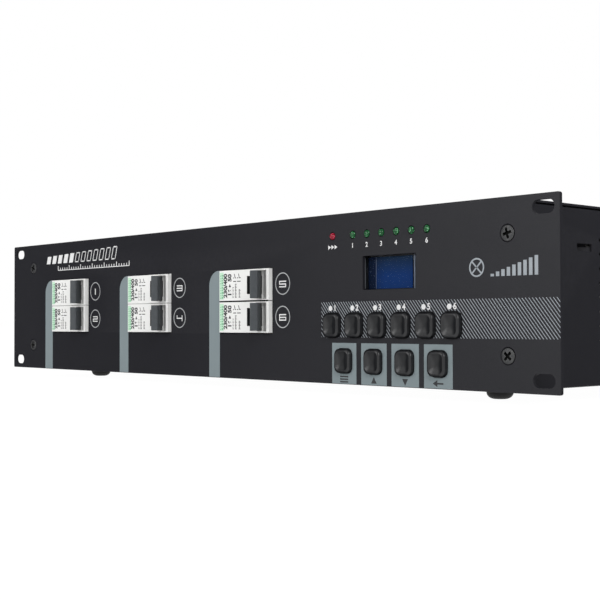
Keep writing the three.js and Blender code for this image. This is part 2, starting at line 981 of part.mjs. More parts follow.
// Control board with a switch behind each button and its spacers to the panel
function controlBoard() {
  const plate = block(
    boardLeft,
    boardRight,
    boardFront,
    boardFront + board.thickness,
    boardBottom,
    boardTop,
  );
  const switches = buttons.flatMap((key) => {
    const body = new THREE.BoxGeometry(board.switchSize, board.switchHeight, board.switchSize)
      .translate(key.x, boardFront + board.thickness / 2 - board.switchHeight / 2, key.z);
    const plungerLength = board.switchHeight + board.plungerRadius;
    const plunger = alongY(circle(key.x, key.z, board.plungerRadius, pinSides), plungerLength)
      .translate(0, boardFront - plungerLength, 0);
    return [body, plunger];
  });
  const spacers = [];
  for (const x of [boardLeft + board.spacerInset, boardRight - board.spacerInset]) {
    for (const z of [boardBottom + board.spacerInset, boardTop - board.spacerInset]) {
      spacers.push(alongY(
        circle(x, z, board.spacerRadius, pinSides),
        board.spacer - seatGap + board.thickness / 2,
      ).translate(0, panel.thickness + seatGap, 0));
    }
  }
  return joined(plate, ...switches, ...spacers);
}

// Floor-mounted electronics
const powerBoardX = -halfChassisX + powerBoard.leftInset + powerBoardLength / 2;
const powerBoardZ = floorTop + powerBoard.spacer;
const powerBoardTop = powerBoardZ + powerBoard.thickness;

function powerPlate() {
  return new THREE.BoxGeometry(powerBoardLength, powerBoard.width, powerBoard.thickness);
}

function chokeRing() {
  const { outerRadius, innerRadius, height, round } = choke;
  return turned([
    [innerRadius, 0],
    [outerRadius - round, 0],
    [outerRadius, round],
    [outerRadius, height - round],
    [outerRadius - round, height],
    [innerRadius, height],
    [innerRadius, 0],
  ], choke.sides).rotateX(Math.PI / 2);
}

function finnedSink() {
  const { width, height, base, fins, finThickness, length } = heatSink;
  const pitch = (width - finThickness) / (fins - 1);
  const outline = [[-width / 2, 0], [width / 2, 0]];
  for (let fin = fins - 1; fin >= 0; fin -= 1) {
    const left = -width / 2 + fin * pitch;
    const right = left + finThickness;
    outline.push([right, height], [left, height]);
    if (fin > 0) {
      outline.push([left, base], [left - pitch + finThickness, base]);
    }
  }
  return alongY(outline.map(([x, z]) => new THREE.Vector2(x, z)), length);
}

function controlTransformer() {
  const t = transformer;
  const halfWidth = t.coreWidth / 2;
  const core = block(-t.coreLength / 2, t.coreLength / 2, -halfWidth, halfWidth, 0, t.coreHeight);
  const coilLow = (t.coreHeight - t.coilHeight) / 2;
  const coil = block(
    -t.coilLength / 2,
    t.coilLength / 2,
    -t.coilWidth / 2,
    t.coilWidth / 2,
    coilLow,
    coilLow + t.coilHeight,
  );
  const halfFoot = t.footLength / 2;
  const feet = block(-halfFoot, halfFoot, -halfWidth, halfWidth, 0, t.footThickness);
  return joined(core, coil, feet);
}

function terminalBlock() {
  const body = block(
    -terminal.width / 2,
    terminal.width / 2,
    0,
    terminal.length,
    0,
    terminal.height,
  );
  const pitch = terminal.width / terminal.ways;
  const ways = Array.from({ length: terminal.ways }, (_, way) => {
    const x = (way + 1 / 2) * pitch - terminal.width / 2;
    return alongY(circle(x, terminal.height / 2, terminal.wayRadius, pinSides), terminal.wayDepth)
      .translate(0, terminal.length - terminal.wayDepth + overrun, 0);
  });
  return cutAway(body, ...ways);
}

// Rear fittings. Each is drawn with the outer face of the rear panel at Y = 0.
const outletX = Array.from({ length: channels }, (_, index) => (
  outletFirstX + index * outlet.pitch
));
const signalHeight = (signal.flangeHeight + signal.spacing) / 2;
const signalZ = [signalHeight, -signalHeight];

function mainsOutlet() {
  const front = seatGap + outlet.flangeThickness;
  const floorLevel = front - outlet.wellDepth;
  const flange = alongY(
    roundedRectangle(0, 0, outlet.flangeWidth, outlet.flangeHeight, outlet.flangeRadius),
    outlet.flangeThickness,
  ).translate(0, seatGap, 0);
  const cupLength = front - floorLevel + outlet.floor - outlet.flangeThickness / 2;
  const cup = alongY(circle(0, 0, outlet.cupRadius, wellSides), cupLength)
    .translate(0, floorLevel - outlet.floor, 0);
  const well = alongY(circle(0, 0, outlet.wellRadius, wellSides), outlet.wellDepth + overrun)
    .translate(0, floorLevel, 0);
  const pins = [-1, 1].map((side) => {
    const pin = circle((side * outlet.pinPitch) / 2, 0, outlet.pinRadius, pinSides);
    return alongY(pin, outlet.pinDepth + overrun)
      .translate(0, floorLevel - outlet.pinDepth, 0);
  });
  const wall = (outlet.cupRadius + outlet.wellRadius) / 2;
  const clips = [-1, 1].map((side) => new THREE.BoxGeometry(
    outlet.clipWidth,
    outlet.clipDepth,
    outlet.clipReach + wall - outlet.wellRadius,
  ).translate(
    0,
    floorLevel + (outlet.clipDepth - overrun) / 2,
    side * (wall + outlet.wellRadius - outlet.clipReach) / 2,
  ));
  const ribLength = outlet.wellDepth - outlet.flangeThickness;
  const ribs = [-1, 1].map((side) => new THREE.BoxGeometry(
    outlet.ribReach + wall - outlet.wellRadius,
    ribLength,
    outlet.ribWidth,
  ).translate(
    side * (wall + outlet.wellRadius - outlet.ribReach) / 2,
    floorLevel + (ribLength - overrun) / 2,
    0,
  ));
  return joined(cutAway(joined(flange, cup), well, ...pins), ...clips, ...ribs);
}

function signalShell() {
  const flange = alongY(
    roundedRectangle(0, 0, signal.flangeWidth, signal.flangeHeight, signal.flangeRadius),
    signal.flangeThickness,
  ).translate(0, seatGap, 0);
  const bodyLength = signal.bodyDepth + seatGap + signal.flangeThickness / 2;
  const body = alongY(circle(0, 0, signal.bodyRadius, wellSides), bodyLength)
    .translate(0, -signal.bodyDepth, 0);
  return joined(flange, body);
}

function contactCircle(radius, length) {
  return Array.from({ length: signal.contacts }, (_, contact) => {
    const angle = Math.PI / 2 + (contact * 2 * Math.PI) / signal.contacts;
    return alongY(circle(
      signal.pinCircle * Math.cos(angle),
      signal.pinCircle * Math.sin(angle),
      radius,
      pinSides,
    ), length);
  });
}

// Signal inlet: a well with pins
function signalInlet() {
  const front = seatGap + signal.flangeThickness;
  const floorLevel = front - signal.wellDepth;
  const well = alongY(circle(0, 0, signal.wellRadius, wellSides), signal.wellDepth + overrun)
    .translate(0, floorLevel, 0);
  const pins = contactCircle(signal.pinRadius, signal.pinLength + overrun)
    .map((pin) => pin.translate(0, floorLevel - overrun, 0));
  return joined(cutAway(signalShell(), well), ...pins);
}

// Signal outlet: a raised insert with contact holes and a latch
function signalOutlet() {
  const front = seatGap + signal.flangeThickness;
  const insert = alongY(
    circle(0, 0, signal.insertRadius, wellSides),
    signal.insertStandOut + signal.flangeThickness / 2,
  ).translate(0, front - signal.flangeThickness / 2, 0);
  const latch = block(
    -signal.latchWidth / 2,
    signal.latchWidth / 2,
    front - signal.flangeThickness / 2,
    front + 2 * signal.insertStandOut,
    signal.insertRadius - overrun,
    signal.insertRadius + signal.latchHeight,
  );
  const top = front + signal.insertStandOut;
  const holes = contactCircle(signal.pinRadius + runGap, signal.holeDepth + overrun)
    .map((hole) => hole.translate(0, top - signal.holeDepth, 0));
  return cutAway(joined(signalShell(), insert, latch), ...holes);
}

// Cable gland: threaded sleeve, hexagon flange, cap nut and inner lock nut
function cableGland() {
  const sleeveLength = gland.innerLength + rearPanel.thickness + 2 * seatGap + gland.hexLength / 2;
  const sleeve = alongY(circle(0, 0, gland.threadRadius, wellSides), sleeveLength)
    .translate(0, -rearPanel.thickness - seatGap - gland.innerLength, 0);
  const hex = alongY(circle(0, 0, gland.hexRadius, hexSides), gland.hexLength)
    .translate(0, seatGap, 0);
  const nut = alongY(circle(0, 0, gland.nutRadius, hexSides), gland.nutLength)
    .translate(0, -rearPanel.thickness - seatGap - gland.nutLength, 0);
  const capStart = seatGap + gland.hexLength / 2;
  const capEnd = seatGap + gland.hexLength + gland.capLength;
  const cap = turned([
    [0, capStart],
    [gland.capRadius, capStart],
    [gland.capRadius, capEnd - gland.capLength / 2],
    [gland.capMouthRadius, capEnd],
    [0, capEnd],
  ], wellSides);
  const boreStart = -rearPanel.thickness - seatGap - gland.innerLength - overrun;
  const bore = alongY(circle(0, 0, gland.boreRadius, wellSides), capEnd + overrun - boreStart)
    .translate(0, boreStart, 0);
  return cutAway(joined(sleeve, hex, nut, cap), bore);
}

// Fan frame with its spider and bearing hole, drawn with its inner face at Y = 0
function fanFrame() {
  const holeX = fan.size / 2 - fan.holeInset;
  const corners = [[1, 1], [-1, 1], [-1, -1], [1, -1]];
  const frame = pierced(
    roundedRectangle(0, 0, fan.size, fan.size, fan.cornerRadius),
    fan.depth,
    [
      circle(0, 0, fan.boreRadius, ringSides),
      ...corners.map(([x, z]) => circle(x * holeX, z * holeX, fan.holeRadius, pinSides)),
    ],
  );
  const spokes = Array.from({ length: fan.spokes }, (_, spoke) => {
    const length = fan.boreRadius + overrun - fan.spiderRadius / 2;
    return block(
      fan.spiderRadius / 2,
      fan.spiderRadius / 2 + length,
      0,
      fan.spiderThickness,
      -fan.spokeWidth / 2,
      fan.spokeWidth / 2,
    ).rotateY(Math.PI / 2 + (spoke * 2 * Math.PI) / fan.spokes);
  });
  const plate = alongY(circle(0, 0, fan.spiderRadius, drumSides), fan.spiderThickness);
  const bearing = alongY(
    circle(0, 0, fan.shaftRadius + seatGap, holeSides),
    fan.spiderThickness + 2 * overrun,
  ).translate(0, -overrun, 0);
  return cutAway(joined(frame, plate, ...spokes), bearing);
}

// One twisted, cambered blade, from its tip along X to inside the hub
function fanBlade() {
  const rings = [];
  for (let section = 0; section < fan.bladeSections; section += 1) {
    const share = 1 - section / (fan.bladeSections - 1);
    const radius = THREE.MathUtils.lerp(fan.hubRadius - overrun, fan.bladeTip, share);
    const chord = THREE.MathUtils.lerp(fan.rootChord, fan.tipChord, share);
    const pitch = THREE.MathUtils.lerp(fan.rootPitch, fan.tipPitch, share);
    const thick = fan.bladeThickness / 2;
    const contour = [
      [-chord / 2, -thick],
      [0, fan.camber - thick],
      [chord / 2, -thick],
      [chord / 2, thick],
      [0, fan.camber + thick],
      [-chord / 2, thick],
    ];
    rings.push(contour.map(([along, across]) => new THREE.Vector3(
      radius,
      along * Math.sin(pitch) + across * Math.cos(pitch),
      along * Math.cos(pitch) - across * Math.sin(pitch),
    )));
  }
  return skinned(rings);
}

function fanRotor() {
  const start = fan.spiderThickness + runGap;
  const hub = alongY(circle(0, 0, fan.hubRadius, drumSides), fan.hubLength).translate(0, start, 0);
  const shaft = alongY(
    circle(0, 0, fan.shaftRadius, holeSides),
    fan.shaftLength + fan.hubLength / 2,
  ).translate(0, start - fan.shaftLength, 0);
  const blades = Array.from({ length: fan.blades }, (_, index) => (
    fanBlade()
      .translate(0, start + fan.hubLength / 2, 0)
      .rotateY((index * 2 * Math.PI) / fan.blades)
  ));
  return joined(hub, shaft, ...blades);
}

// Wire guard: rings, crossed arms and an eye at each screw of the fan
function fanGuard() {
  const wire = guard.wireRadius;
  const eyeDistance = Math.SQRT2 * (fan.size / 2 - fan.holeInset);
  const rings = Array.from({ length: guard.rings }, (_, ring) => {
    const share = ring / (guard.rings - 1);
    const radius = THREE.MathUtils.lerp(guard.firstRadius, guard.lastRadius, share);
    return new THREE.TorusGeometry(radius, wire, guard.wireSides, guard.ringSteps).rotateX(Math.PI / 2);
  });
  const arms = Array.from({ length: guard.arms }, (_, arm) => {
    const angle = Math.PI / 4 + (arm * 2 * Math.PI) / guard.arms;
    const rod = new THREE.CylinderGeometry(wire, wire, eyeDistance, guard.wireSides)
      .rotateZ(Math.PI / 2)
      .translate(eyeDistance / 2, 0, 0);
    const eye = alongY(
      circle(eyeDistance, 0, guard.eyeRadius, holeSides),
      2 * wire,
    ).translate(0, -wire, 0);
    const hole = alongY(
      circle(eyeDistance, 0, fan.holeRadius, pinSides),
      2 * wire + 2 * overrun,
    ).translate(0, -wire - overrun, 0);
    return cutAway(joined(rod, eye), hole).rotateY(angle);
  });
  return joined(rings[0], ...rings.slice(1), ...arms);
}

// Colours and finishes
const powderCoat = () => paint(0x2f3033, 0.55, 0.2);
const zincSteel = () => paint(0xa8abad, 0.4, 0.8);
const blackPlastic = () => paint(0x24272a, 0.45);
const greenBoard = () => paint(0x2e5a3a, 0.6);

// Assembly
place('front_panel', frontPanel(), powderCoat());
place('chassis_tray', chassisTray(), powderCoat());
place('top_cover', topCover(), powderCoat());
place('rear_panel', rearPlate(), powderCoat());

const footX = halfChassisX - foot.insetX;
const footZ = chassisBottom - seatGap - foot.height;
const footPlaces = [
  ['foot_front_left', -footX, panel.thickness + foot.insetY],
  ['foot_front_right', footX, panel.thickness + foot.insetY],
  ['foot_rear_left', -footX, chassisBack - foot.insetY],
  ['foot_rear_right', footX, chassisBack - foot.insetY],
];
for (const [name, x, y] of footPlaces) {
  place(name, rubberFoot(), paint(0x1a1a1c, 0.9), x, y, footZ);
}

const railFront = breaker.backDepth - rail.hookDepth - rail.sheet - seatGap;
breakerX.forEach((x, pair) => {
  const pairGroup = new THREE.Group();
  pairGroup.position.set(x, 0, 0);
  pack.add(pairGroup);
  for (const [row, side] of [1, -1].entries()) {
    const number = 2 * pair + row + 1;
    const z = (side * breaker.pitchZ) / 2;
    place(`breaker_body_${number}`, breakerBody(), paint(0xf0f0ee, 0.45), 0, 0, z, pairGroup);
    const toggle = place(
      `breaker_lever_${number}`,
      toggleLever(),
      paint(0x484d50, 0.4),
      lever.hubX,
      lever.hubDepth,
      z,
      pairGroup,
    );
    toggle.rotation.z = lever.offLean;
  }
  place(`breaker_rail_${pair + 1}`, breakerRail(), zincSteel(), 0, railFront, 0, pairGroup);
});

for (const key of buttons) {
  place(key.name, pushButton(key.width, key.height), blackPlastic(), key.x, 0, key.z);
}

const lensY = panel.thickness + seatGap;
place('display_module', displayModule(), paint(0x1c2d5f, 0.3), displayX, 0, displayZ);
place('display_lens', displayLens(), paint(0x9fb4c8, 0.1), displayX, lensY, displayZ);
place('control_board', controlBoard(), greenBoard());
place('signal_led', joined(ledBlock(0, 0), ledDome()), paint(0xc01f32, 0.3), controlsX, 0, ledZ);
const channelDomes = channelLedX.map((x) => ledDome().translate(x, 0, 0));
const channelStrip = ledBlock(channelLedX[0], channelLedX[channels - 1]);
place('channel_leds', joined(channelStrip, ...channelDomes), paint(0x1a8a3c, 0.3), 0, 0, ledZ);

place(
  'power_board',
  powerPlate(),
  greenBoard(),
  powerBoardX,
  powerBoard.start + powerBoard.width / 2,
  powerBoardZ + powerBoard.thickness / 2,
);
for (let index = 0; index < channels; index += 1) {
  const pitch = powerBoardLength / channels;
  place(
    `choke_${index + 1}`,
    chokeRing(),
    paint(0xa8642c, 0.5, 0.3),
    powerBoardX - powerBoardLength / 2 + (index + 1 / 2) * pitch,
    powerBoard.start + powerBoard.chokeRowShare * powerBoard.width,
    powerBoardTop + seatGap,
  );
}
const fanInner = rearInner - seatGap - fan.depth;
place(
  'heat_sink',
  finnedSink(),
  paint(0xb4b7ba, 0.35, 0.9),
  fanX,
  fanInner - heatSink.fanDistance - heatSink.length,
  floorSeat,
);
place(
  'transformer',
  controlTransformer(),
  paint(0x6a6660, 0.6, 0.4),
  halfChassisX - transformer.sideInset - transformer.footLength / 2,
  transformer.start + transformer.coilWidth / 2,
  floorSeat,
);
place(
  'terminal_block',
  terminalBlock(),
  paint(0xd8d6cc, 0.6),
  glandX,
  rearInner - terminal.glandRoom - terminal.length,
  floorSeat,
);

outletX.forEach((x, index) => {
  place(`outlet_${index + 1}`, mainsOutlet(), blackPlastic(), x, rearFace, 0);
});
place('signal_inlet', signalInlet(), blackPlastic(), signalX, rearFace, signalZ[0]);
place('signal_outlet', signalOutlet(), blackPlastic(), signalX, rearFace, signalZ[1]);
place('cable_gland', cableGland(), blackPlastic(), glandX, rearFace, 0);

place('fan_frame', fanFrame(), blackPlastic(), fanX, fanInner, 0);
place('fan_rotor', fanRotor(), blackPlastic(), fanX, fanInner, 0);
place('fan_guard', fanGuard(), zincSteel(), fanX, rearFace + seatGap + guard.wireRadius, 0);

// The origin is the middle of the footprint, at the height of the feet's undersides
pack.updateMatrixWorld(true);
const bounds = new THREE.Box3().setFromObject(pack, true);
const middle = bounds.getCenter(new THREE.Vector3());
pack.position.set(-middle.x, -middle.y, -bounds.min.z);

export default pack;
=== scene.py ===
import math

import bpy
from mathutils import Matrix, Vector


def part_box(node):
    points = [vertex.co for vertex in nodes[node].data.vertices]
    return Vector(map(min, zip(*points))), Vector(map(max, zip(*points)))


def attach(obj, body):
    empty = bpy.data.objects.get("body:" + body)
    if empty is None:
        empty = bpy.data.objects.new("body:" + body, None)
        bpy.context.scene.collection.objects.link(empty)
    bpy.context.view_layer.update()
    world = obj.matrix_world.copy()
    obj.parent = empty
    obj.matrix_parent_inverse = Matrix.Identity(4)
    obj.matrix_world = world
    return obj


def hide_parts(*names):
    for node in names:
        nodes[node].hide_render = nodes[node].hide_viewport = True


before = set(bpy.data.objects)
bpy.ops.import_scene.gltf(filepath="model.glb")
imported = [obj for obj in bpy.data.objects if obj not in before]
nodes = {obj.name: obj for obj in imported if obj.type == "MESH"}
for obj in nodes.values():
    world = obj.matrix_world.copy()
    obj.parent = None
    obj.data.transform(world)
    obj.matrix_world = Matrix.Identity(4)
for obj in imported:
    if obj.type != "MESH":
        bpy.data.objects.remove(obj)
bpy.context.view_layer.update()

# Places are millimetres from the middle of the panel's front face, as on a drawing
mm = 0.001
panelLow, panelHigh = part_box("front_panel")
panelMiddle = (panelLow.z + panelHigh.z) / 2


def at(x, y, z):
    return Vector((x * mm, panelLow.y + y * mm, panelMiddle + z * mm))


def around(middle, size):  # from and to
    return middle - size / 2, middle + size / 2


# Modelling steps that many pieces share
def mode(kind):
    bpy.ops.object.mode_set(mode=kind)


def deselect():
    bpy.ops.object.select_all(action="DESELECT")


def only(*pieces):
    deselect()
    for piece in pieces:
        piece.select_set(True)
    bpy.context.view_layer.objects.active = pieces[0]


def titled(name):
    piece = bpy.context.active_object
    piece.name = name
    piece.data.name = name
    return piece


def named(name):  # names the new primitive and puts its place into its mesh
    piece = titled(name)
    bpy.ops.object.transform_apply(location=True, rotation=True, scale=True)
    return piece


def slab(name, x, y, z):  # x, y and z are from and to
    low = at(x[0], y[0], z[0])
    high = at(x[1], y[1], z[1])
    deselect()
    bpy.ops.mesh.primitive_cube_add(size=1, location=(low + high) / 2)
    bpy.context.active_object.scale = high - low
    return named(name)


def pick(piece, kind, test):  # leaves edit mode on, with what passes the test selected
    only(piece)
    mode("EDIT")
    bpy.ops.mesh.select_mode(type=kind)
    bpy.ops.mesh.select_all(action="DESELECT")
    mode("OBJECT")
    parts = {"VERT": piece.data.vertices, "EDGE": piece.data.edges, "FACE": piece.data.polygons}
    for part in parts[kind]:
        part.select = test(part)
    mode("EDIT")


def pulled(piece, test, step):  # moves the corners that pass the test
    pick(piece, "VERT", test)
    bpy.ops.transform.translate(value=step)
    mode("OBJECT")
    return piece


def rounded(piece, test, radius, steps):  # rounds the edges that pass the test
    pick(piece, "EDGE", test)
    bpy.ops.mesh.bevel(offset=radius * mm, segments=steps, affect="EDGES")
    mode("OBJECT")
    return piece


def facesFront(face):
    return face.normal.y < -0.99


def tile(name, x, z, size, y, radius, steps=8):  # a slab with round corners seen from the front
    piece = slab(name, around(x, size[0]), y, around(z, size[1]))
    points = piece.data.vertices

    def runsBack(edge):
        run = points[edge.vertices[0]].co - points[edge.vertices[1]].co
        return abs(run.y) > 0.999 * run.length

    return rounded(piece, runsBack, radius, steps)


spread = {1: (1, 0, 1), 2: (1, 1, 0)}
turnTo = {1: (math.pi / 2, 0, 0), 2: (0, 0, 0)}


# A disc drawn out ring by ring; the profile holds radius and distance along the axis
def turned(name, centre, profile, axis=1, sides=48):
    middle = at(*centre)
    radius, reach = profile[0]
    middle[axis] += reach * mm
    deselect()
    bpy.ops.mesh.primitive_circle_add(
        vertices=sides, radius=radius * mm, fill_type="NGON", location=middle, rotation=turnTo[axis]
    )
    piece = named(name)
    mode("EDIT")
    bpy.ops.mesh.select_all(action="SELECT")
    for nextRadius, nextReach in profile[1:]:
        step = Vector((0, 0, 0))
        step[axis] = (nextReach - reach) * mm
        middle += step
        bpy.ops.mesh.extrude_region_move(TRANSFORM_OT_translate={"value": step})
        if nextRadius != radius:
            share = nextRadius / radius
            bpy.ops.transform.resize(
                value=[share if part else 1 for part in spread[axis]], center_override=middle
            )
        radius, reach = nextRadius, nextReach
    bpy.ops.mesh.select_all(action="SELECT")
    bpy.ops.mesh.normals_make_consistent(inside=False)
    mode("OBJECT")
    return piece


def rod(name, x, z, y, radius, sides=48):
    return turned(name, (x, 0, z), [(radius, y[0]), (radius, y[1])], sides=sides)


def prism(name, x, z, y, radius, turn=0):  # a triangle with a corner on top
    deselect()
    bpy.ops.mesh.primitive_cylinder_add(
        vertices=3, radius=radius * mm, depth=(y[1] - y[0]) * mm,
        location=at(x, (y[0] + y[1]) / 2, z), rotation=(math.pi / 2, turn, 0),
    )
    return named(name)


def merged(name, *parts):
    only(*parts)
    if len(parts) > 1:
        bpy.ops.object.join()
    return titled(name)


def applied(piece, kind, **settings):
    only(piece)
    bpy.ops.object.modifier_add(type=kind)
    modifier = piece.modifiers[-1]
    for name, value in settings.items():
        setattr(modifier, name, value)
    bpy.ops.object.modifier_apply(modifier=modifier.name)


def cutBy(piece, *tools):
    tool = merged("cutter", *tools)
    applied(piece, "BOOLEAN", operation="DIFFERENCE", solver="EXACT", object=tool)
    bpy.data.objects.remove(tool)
    return piece


sharpAngle = math.radians(40)
roundAngle = math.radians(50)


def smooth(piece, angle):
    only(piece)
    bpy.ops.object.shade_smooth_by_angle(angle=angle)


def shaded(piece):
    smooth(piece, sharpAngle)
    applied(piece, "WEIGHTED_NORMAL", keep_sharp=True, weight=90)
    return piece


def softened(piece, width, segments=2, clamp=True):
    applied(piece, "BEVEL", width=width * mm, segments=segments, limit_method="ANGLE",
            angle_limit=sharpAngle, use_clamp_overlap=clamp)
    return shaded(piece)


def inScene(name, content):
    holder = bpy.data.objects.new(name, content)
    bpy.context.scene.collection.objects.link(holder)
    return holder


def copied(node, name):  # a CAD piece as a merged mesh, to be worked on further
    piece = inScene(name, nodes[node].data.copy())
    only(piece)
    bpy.ops.mesh.customdata_custom_splitnormals_clear()
    mode("EDIT")
    bpy.ops.mesh.select_all(action="SELECT")
    bpy.ops.mesh.remove_doubles(threshold=0.01 * mm)
    bpy.ops.mesh.dissolve_limited(angle_limit=math.radians(1))
    mode("OBJECT")
    return piece


def again(piece, name, x=0, y=0, z=0):  # a copy with its own mesh, moved by millimetres
    twin = inScene(name, piece.data.copy())
    twin.data.name = name
    twin.data.transform(Matrix.Translation((x * mm, y * mm, z * mm)))
    return twin


def spun(piece, centre, turn):  # turns a mesh about a line that runs front to back
    spin = Matrix.Rotation(turn, 4, "Y")
    piece.data.transform(Matrix.Translation(centre) @ spin @ Matrix.Translation(-centre))
    return piece


def mounted(piece, finish, body="root", stands=()):
    piece.data.materials.clear()
    piece.data.materials.append(finish)
    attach(piece, body)
    if stands:
        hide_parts(*stands)
    return piece


def laid(name, finish, *parts, slot=None):  # parts joined into one piece
    return mounted(merged(name, *parts), finish)


def refined(node, finish, width, segments=2, body="root"):  # a CAD piece with soft edges
    piece = softened(copied(node, node + "_piece"), width, segments)
    return mounted(piece, finish, body, [node])


def inked(piece, finish, test):  # gives the faces that pass the test another finish
    piece.data.materials.append(finish)
    for face in piece.data.polygons:
        if test(face):
            face.material_index = len(piece.data.materials) - 1


# Shader parts
def feed(made, sockets):  # a value or a link for each socket
    for name, value in sockets.items():
        if isinstance(value, bpy.types.NodeSocket):
            made.id_data.links.new(value, made.inputs[name])
        else:
            made.inputs[name].default_value = value


def put(tree, kind, sockets=None, **settings):
    made = tree.nodes.new("ShaderNode" + kind)
    for name, value in settings.items():
        setattr(made, name, value)
    feed(made, sockets or {})
    return made


def maths(tree, operation, *values, clamp=False):
    sockets = dict(enumerate(values))
    return put(tree, "Math", sockets, operation=operation, use_clamp=clamp).outputs[0]


def ranged(tree, value, low, high, start, end):  # low gives start and high gives end
    return put(tree, "MapRange", {0: value, 1: low, 2: high, 3: start, 4: end}).outputs[0]


def blended(tree, share, first, second):
    return put(tree, "Mix", {0: share, 6: first, 7: second}, data_type="RGBA").outputs[2]


def scaled(tree, tone, factor):
    return put(tree, "VectorMath", {0: tone, "Scale": factor}, operation="SCALE").outputs[0]


def ownPlace(tree):
    return put(tree, "TexCoord").outputs["Object"]


def ownAxes(tree):
    return put(tree, "SeparateXYZ", {0: ownPlace(tree)}).outputs


def noise(tree, scale, **more):
    return put(tree, "TexNoise", {"Vector": ownPlace(tree), "Scale": scale, **more}).outputs[0]


def cells(tree, scale):
    sockets = {"Vector": ownPlace(tree), "Scale": scale}
    return put(tree, "TexVoronoi", sockets).outputs["Distance"]


def newGroup(name, inputs, output):
    tree = bpy.data.node_groups.new(name, "ShaderNodeTree")
    sockets = [(label, "INPUT") for label in inputs.split()] + [(output, "OUTPUT")]
    for label, side in sockets:
        kind = "NodeSocketColor" if label in ("Color", "Other") else "NodeSocketFloat"
        tree.interface.new_socket(label, in_out=side, socket_type=kind)
    return tree, tree.nodes.new("NodeGroupInput").outputs, tree.nodes.new("NodeGroupOutput")


def grainGroup():
    tree, given, result = newGroup("fineGrain", "Scale Blend", "Height")
    fine = noise(tree, given["Scale"], Detail=3.0)
    mix = put(tree, "Mix", {0: given["Blend"], 2: fine, 3: cells(tree, given["Scale"])})
    feed(result, {"Height": mix.outputs[0]})
    return tree


def driftGroup():
    tree, given, result = newGroup("toneDrift", "Color Other Scale Amount", "Color")
    cloud = noise(tree, given["Scale"], Detail=4.0)
    share = maths(tree, "MULTIPLY", cloud, given["Amount"], clamp=True)
    feed(result, {"Color": blended(tree, share, given["Color"], given["Other"])})
    return tree


def handledGroup():  # fingermarks and wiping, as a roughness that changes softly
    tree, given, result = newGroup("handled", "Roughness Range Scale", "Roughness")
    centred = maths(tree, "SUBTRACT", noise(tree, given["Scale"], Detail=5.0, Distortion=0.6), 0.5)
    varied = maths(tree, "MULTIPLY_ADD", centred, given["Range"], given["Roughness"], clamp=True)
    feed(result, {"Roughness": varied})
    return tree


def wearGroup():
    tree, given, result = newGroup("edgeWear", "Start Scale Amount", "Mask")
    pointiness = put(tree, "NewGeometry").outputs["Pointiness"]
    sharp = ranged(tree, pointiness, given["Start"], 0.62, 0.0, 1.0)
    rubbed = maths(tree, "MULTIPLY", sharp, noise(tree, given["Scale"]))
    feed(result, {"Mask": maths(tree, "MULTIPLY", rubbed, given["Amount"], clamp=True)})
    return tree


groups = {"grain": grainGroup(), "drift": driftGroup(), "handled": handledGroup(),
          "wear": wearGroup()}


def use(tree, group, **sockets):
    return put(tree, "Group", sockets, node_tree=groups[group]).outputs[0]


def rgba(colour):
    return (*colour, 1.0)


def shaderOf(made):
    return made.node_tree.nodes["Principled BSDF"]


def toneOf(made):  # what feeds the finish's colour so far
    return shaderOf(made).inputs["Base Color"].links[0].from_socket


# A finish from one plain recipe: tone drift, handling, worn edges and grain
def finish(name, colour, rough, other=None, worn=None, grain=(2000, 0.02, 0.3), drift=(30, 0.8),
           marks=(60, 0.12), wear=0.5, metal=0.0, specular=0.5, coat=0.0):
    made = bpy.data.materials.new(name)
    made.use_nodes = True
    tree = made.node_tree
    plain = rgba(colour)
    darker = rgba(other or [part * 0.8 for part in colour])
    brighter = rgba(worn or [min(1.0, part * 1.5 + 0.02) for part in colour])
    tone = use(tree, "drift", Color=plain, Other=darker, Scale=drift[0], Amount=drift[1])
    rubbed = use(tree, "wear", Start=0.52, Scale=400.0, Amount=wear)
    relief = use(tree, "grain", Scale=grain[0], Blend=grain[2])
    bump = put(tree, "Bump", {"Height": relief, "Distance": grain[1] * mm, "Strength": 1.0})
    feed(shaderOf(made), {
        "Base Color": blended(tree, rubbed, tone, brighter),
        "Roughness": use(tree, "handled", Roughness=rough, Range=marks[1], Scale=marks[0]),
        "Normal": bump.outputs[0],
        "Metallic": metal,
        "Specular IOR Level": specular,
        "Coat Weight": coat,
    })
    return made


def glossFacing(made, glintMask, far, full, least):  # less gloss where the surface turns away
    away = put(made.node_tree, "LayerWeight", {"Blend": 0.5}).outputs["Facing"]
    gloss = ranged(made.node_tree, away, glintMask, far, full, least)
    feed(shaderOf(made), {"Specular IOR Level": gloss})


powderCoat = finish(
    "powderCoat", (0.0178, 0.0178, 0.0215), 0.50, other=(0.0157, 0.0159, 0.0190),
    worn=(0.030, 0.030, 0.034), grain=(1500, 0.035, 0.35), drift=(25, 0.9),
)
glossFacing(powderCoat, 0.19, 0.42, 0.19, 0.02)
printWhite = finish("printWhite", (0.78, 0.78, 0.78), 0.5, grain=(3000, 0.005, 0.2), wear=0.0)
printGrey = finish(
    "printGrey", (0.200, 0.243, 0.256), 0.55, other=(0.182, 0.222, 0.236),
    grain=(1500, 0.02, 0.35), drift=(40, 0.8), wear=0.0, specular=0.3,
)
printLine = finish(
    "printLine", (0.33, 0.36, 0.39), 0.55, grain=(1500, 0.02, 0.35), wear=0.0, specular=0.3
)
printRing = finish("printRing", (0.40, 0.41, 0.42), 0.55, wear=0.0, specular=0.3)
printDark = finish("printDark", (0.028, 0.030, 0.033), 0.5, wear=0.0, specular=0.3)
printGreen = finish(
    "printGreen", (0.44, 0.70, 0.50), 0.5, other=(0.58, 0.78, 0.62), drift=(900, 1.0), wear=0.0
)
printLeaf = finish("printLeaf", (0.22, 0.50, 0.30), 0.5, wear=0.0)
printFaint = finish("printFaint", (0.070, 0.067, 0.070), 0.5, wear=0.0)
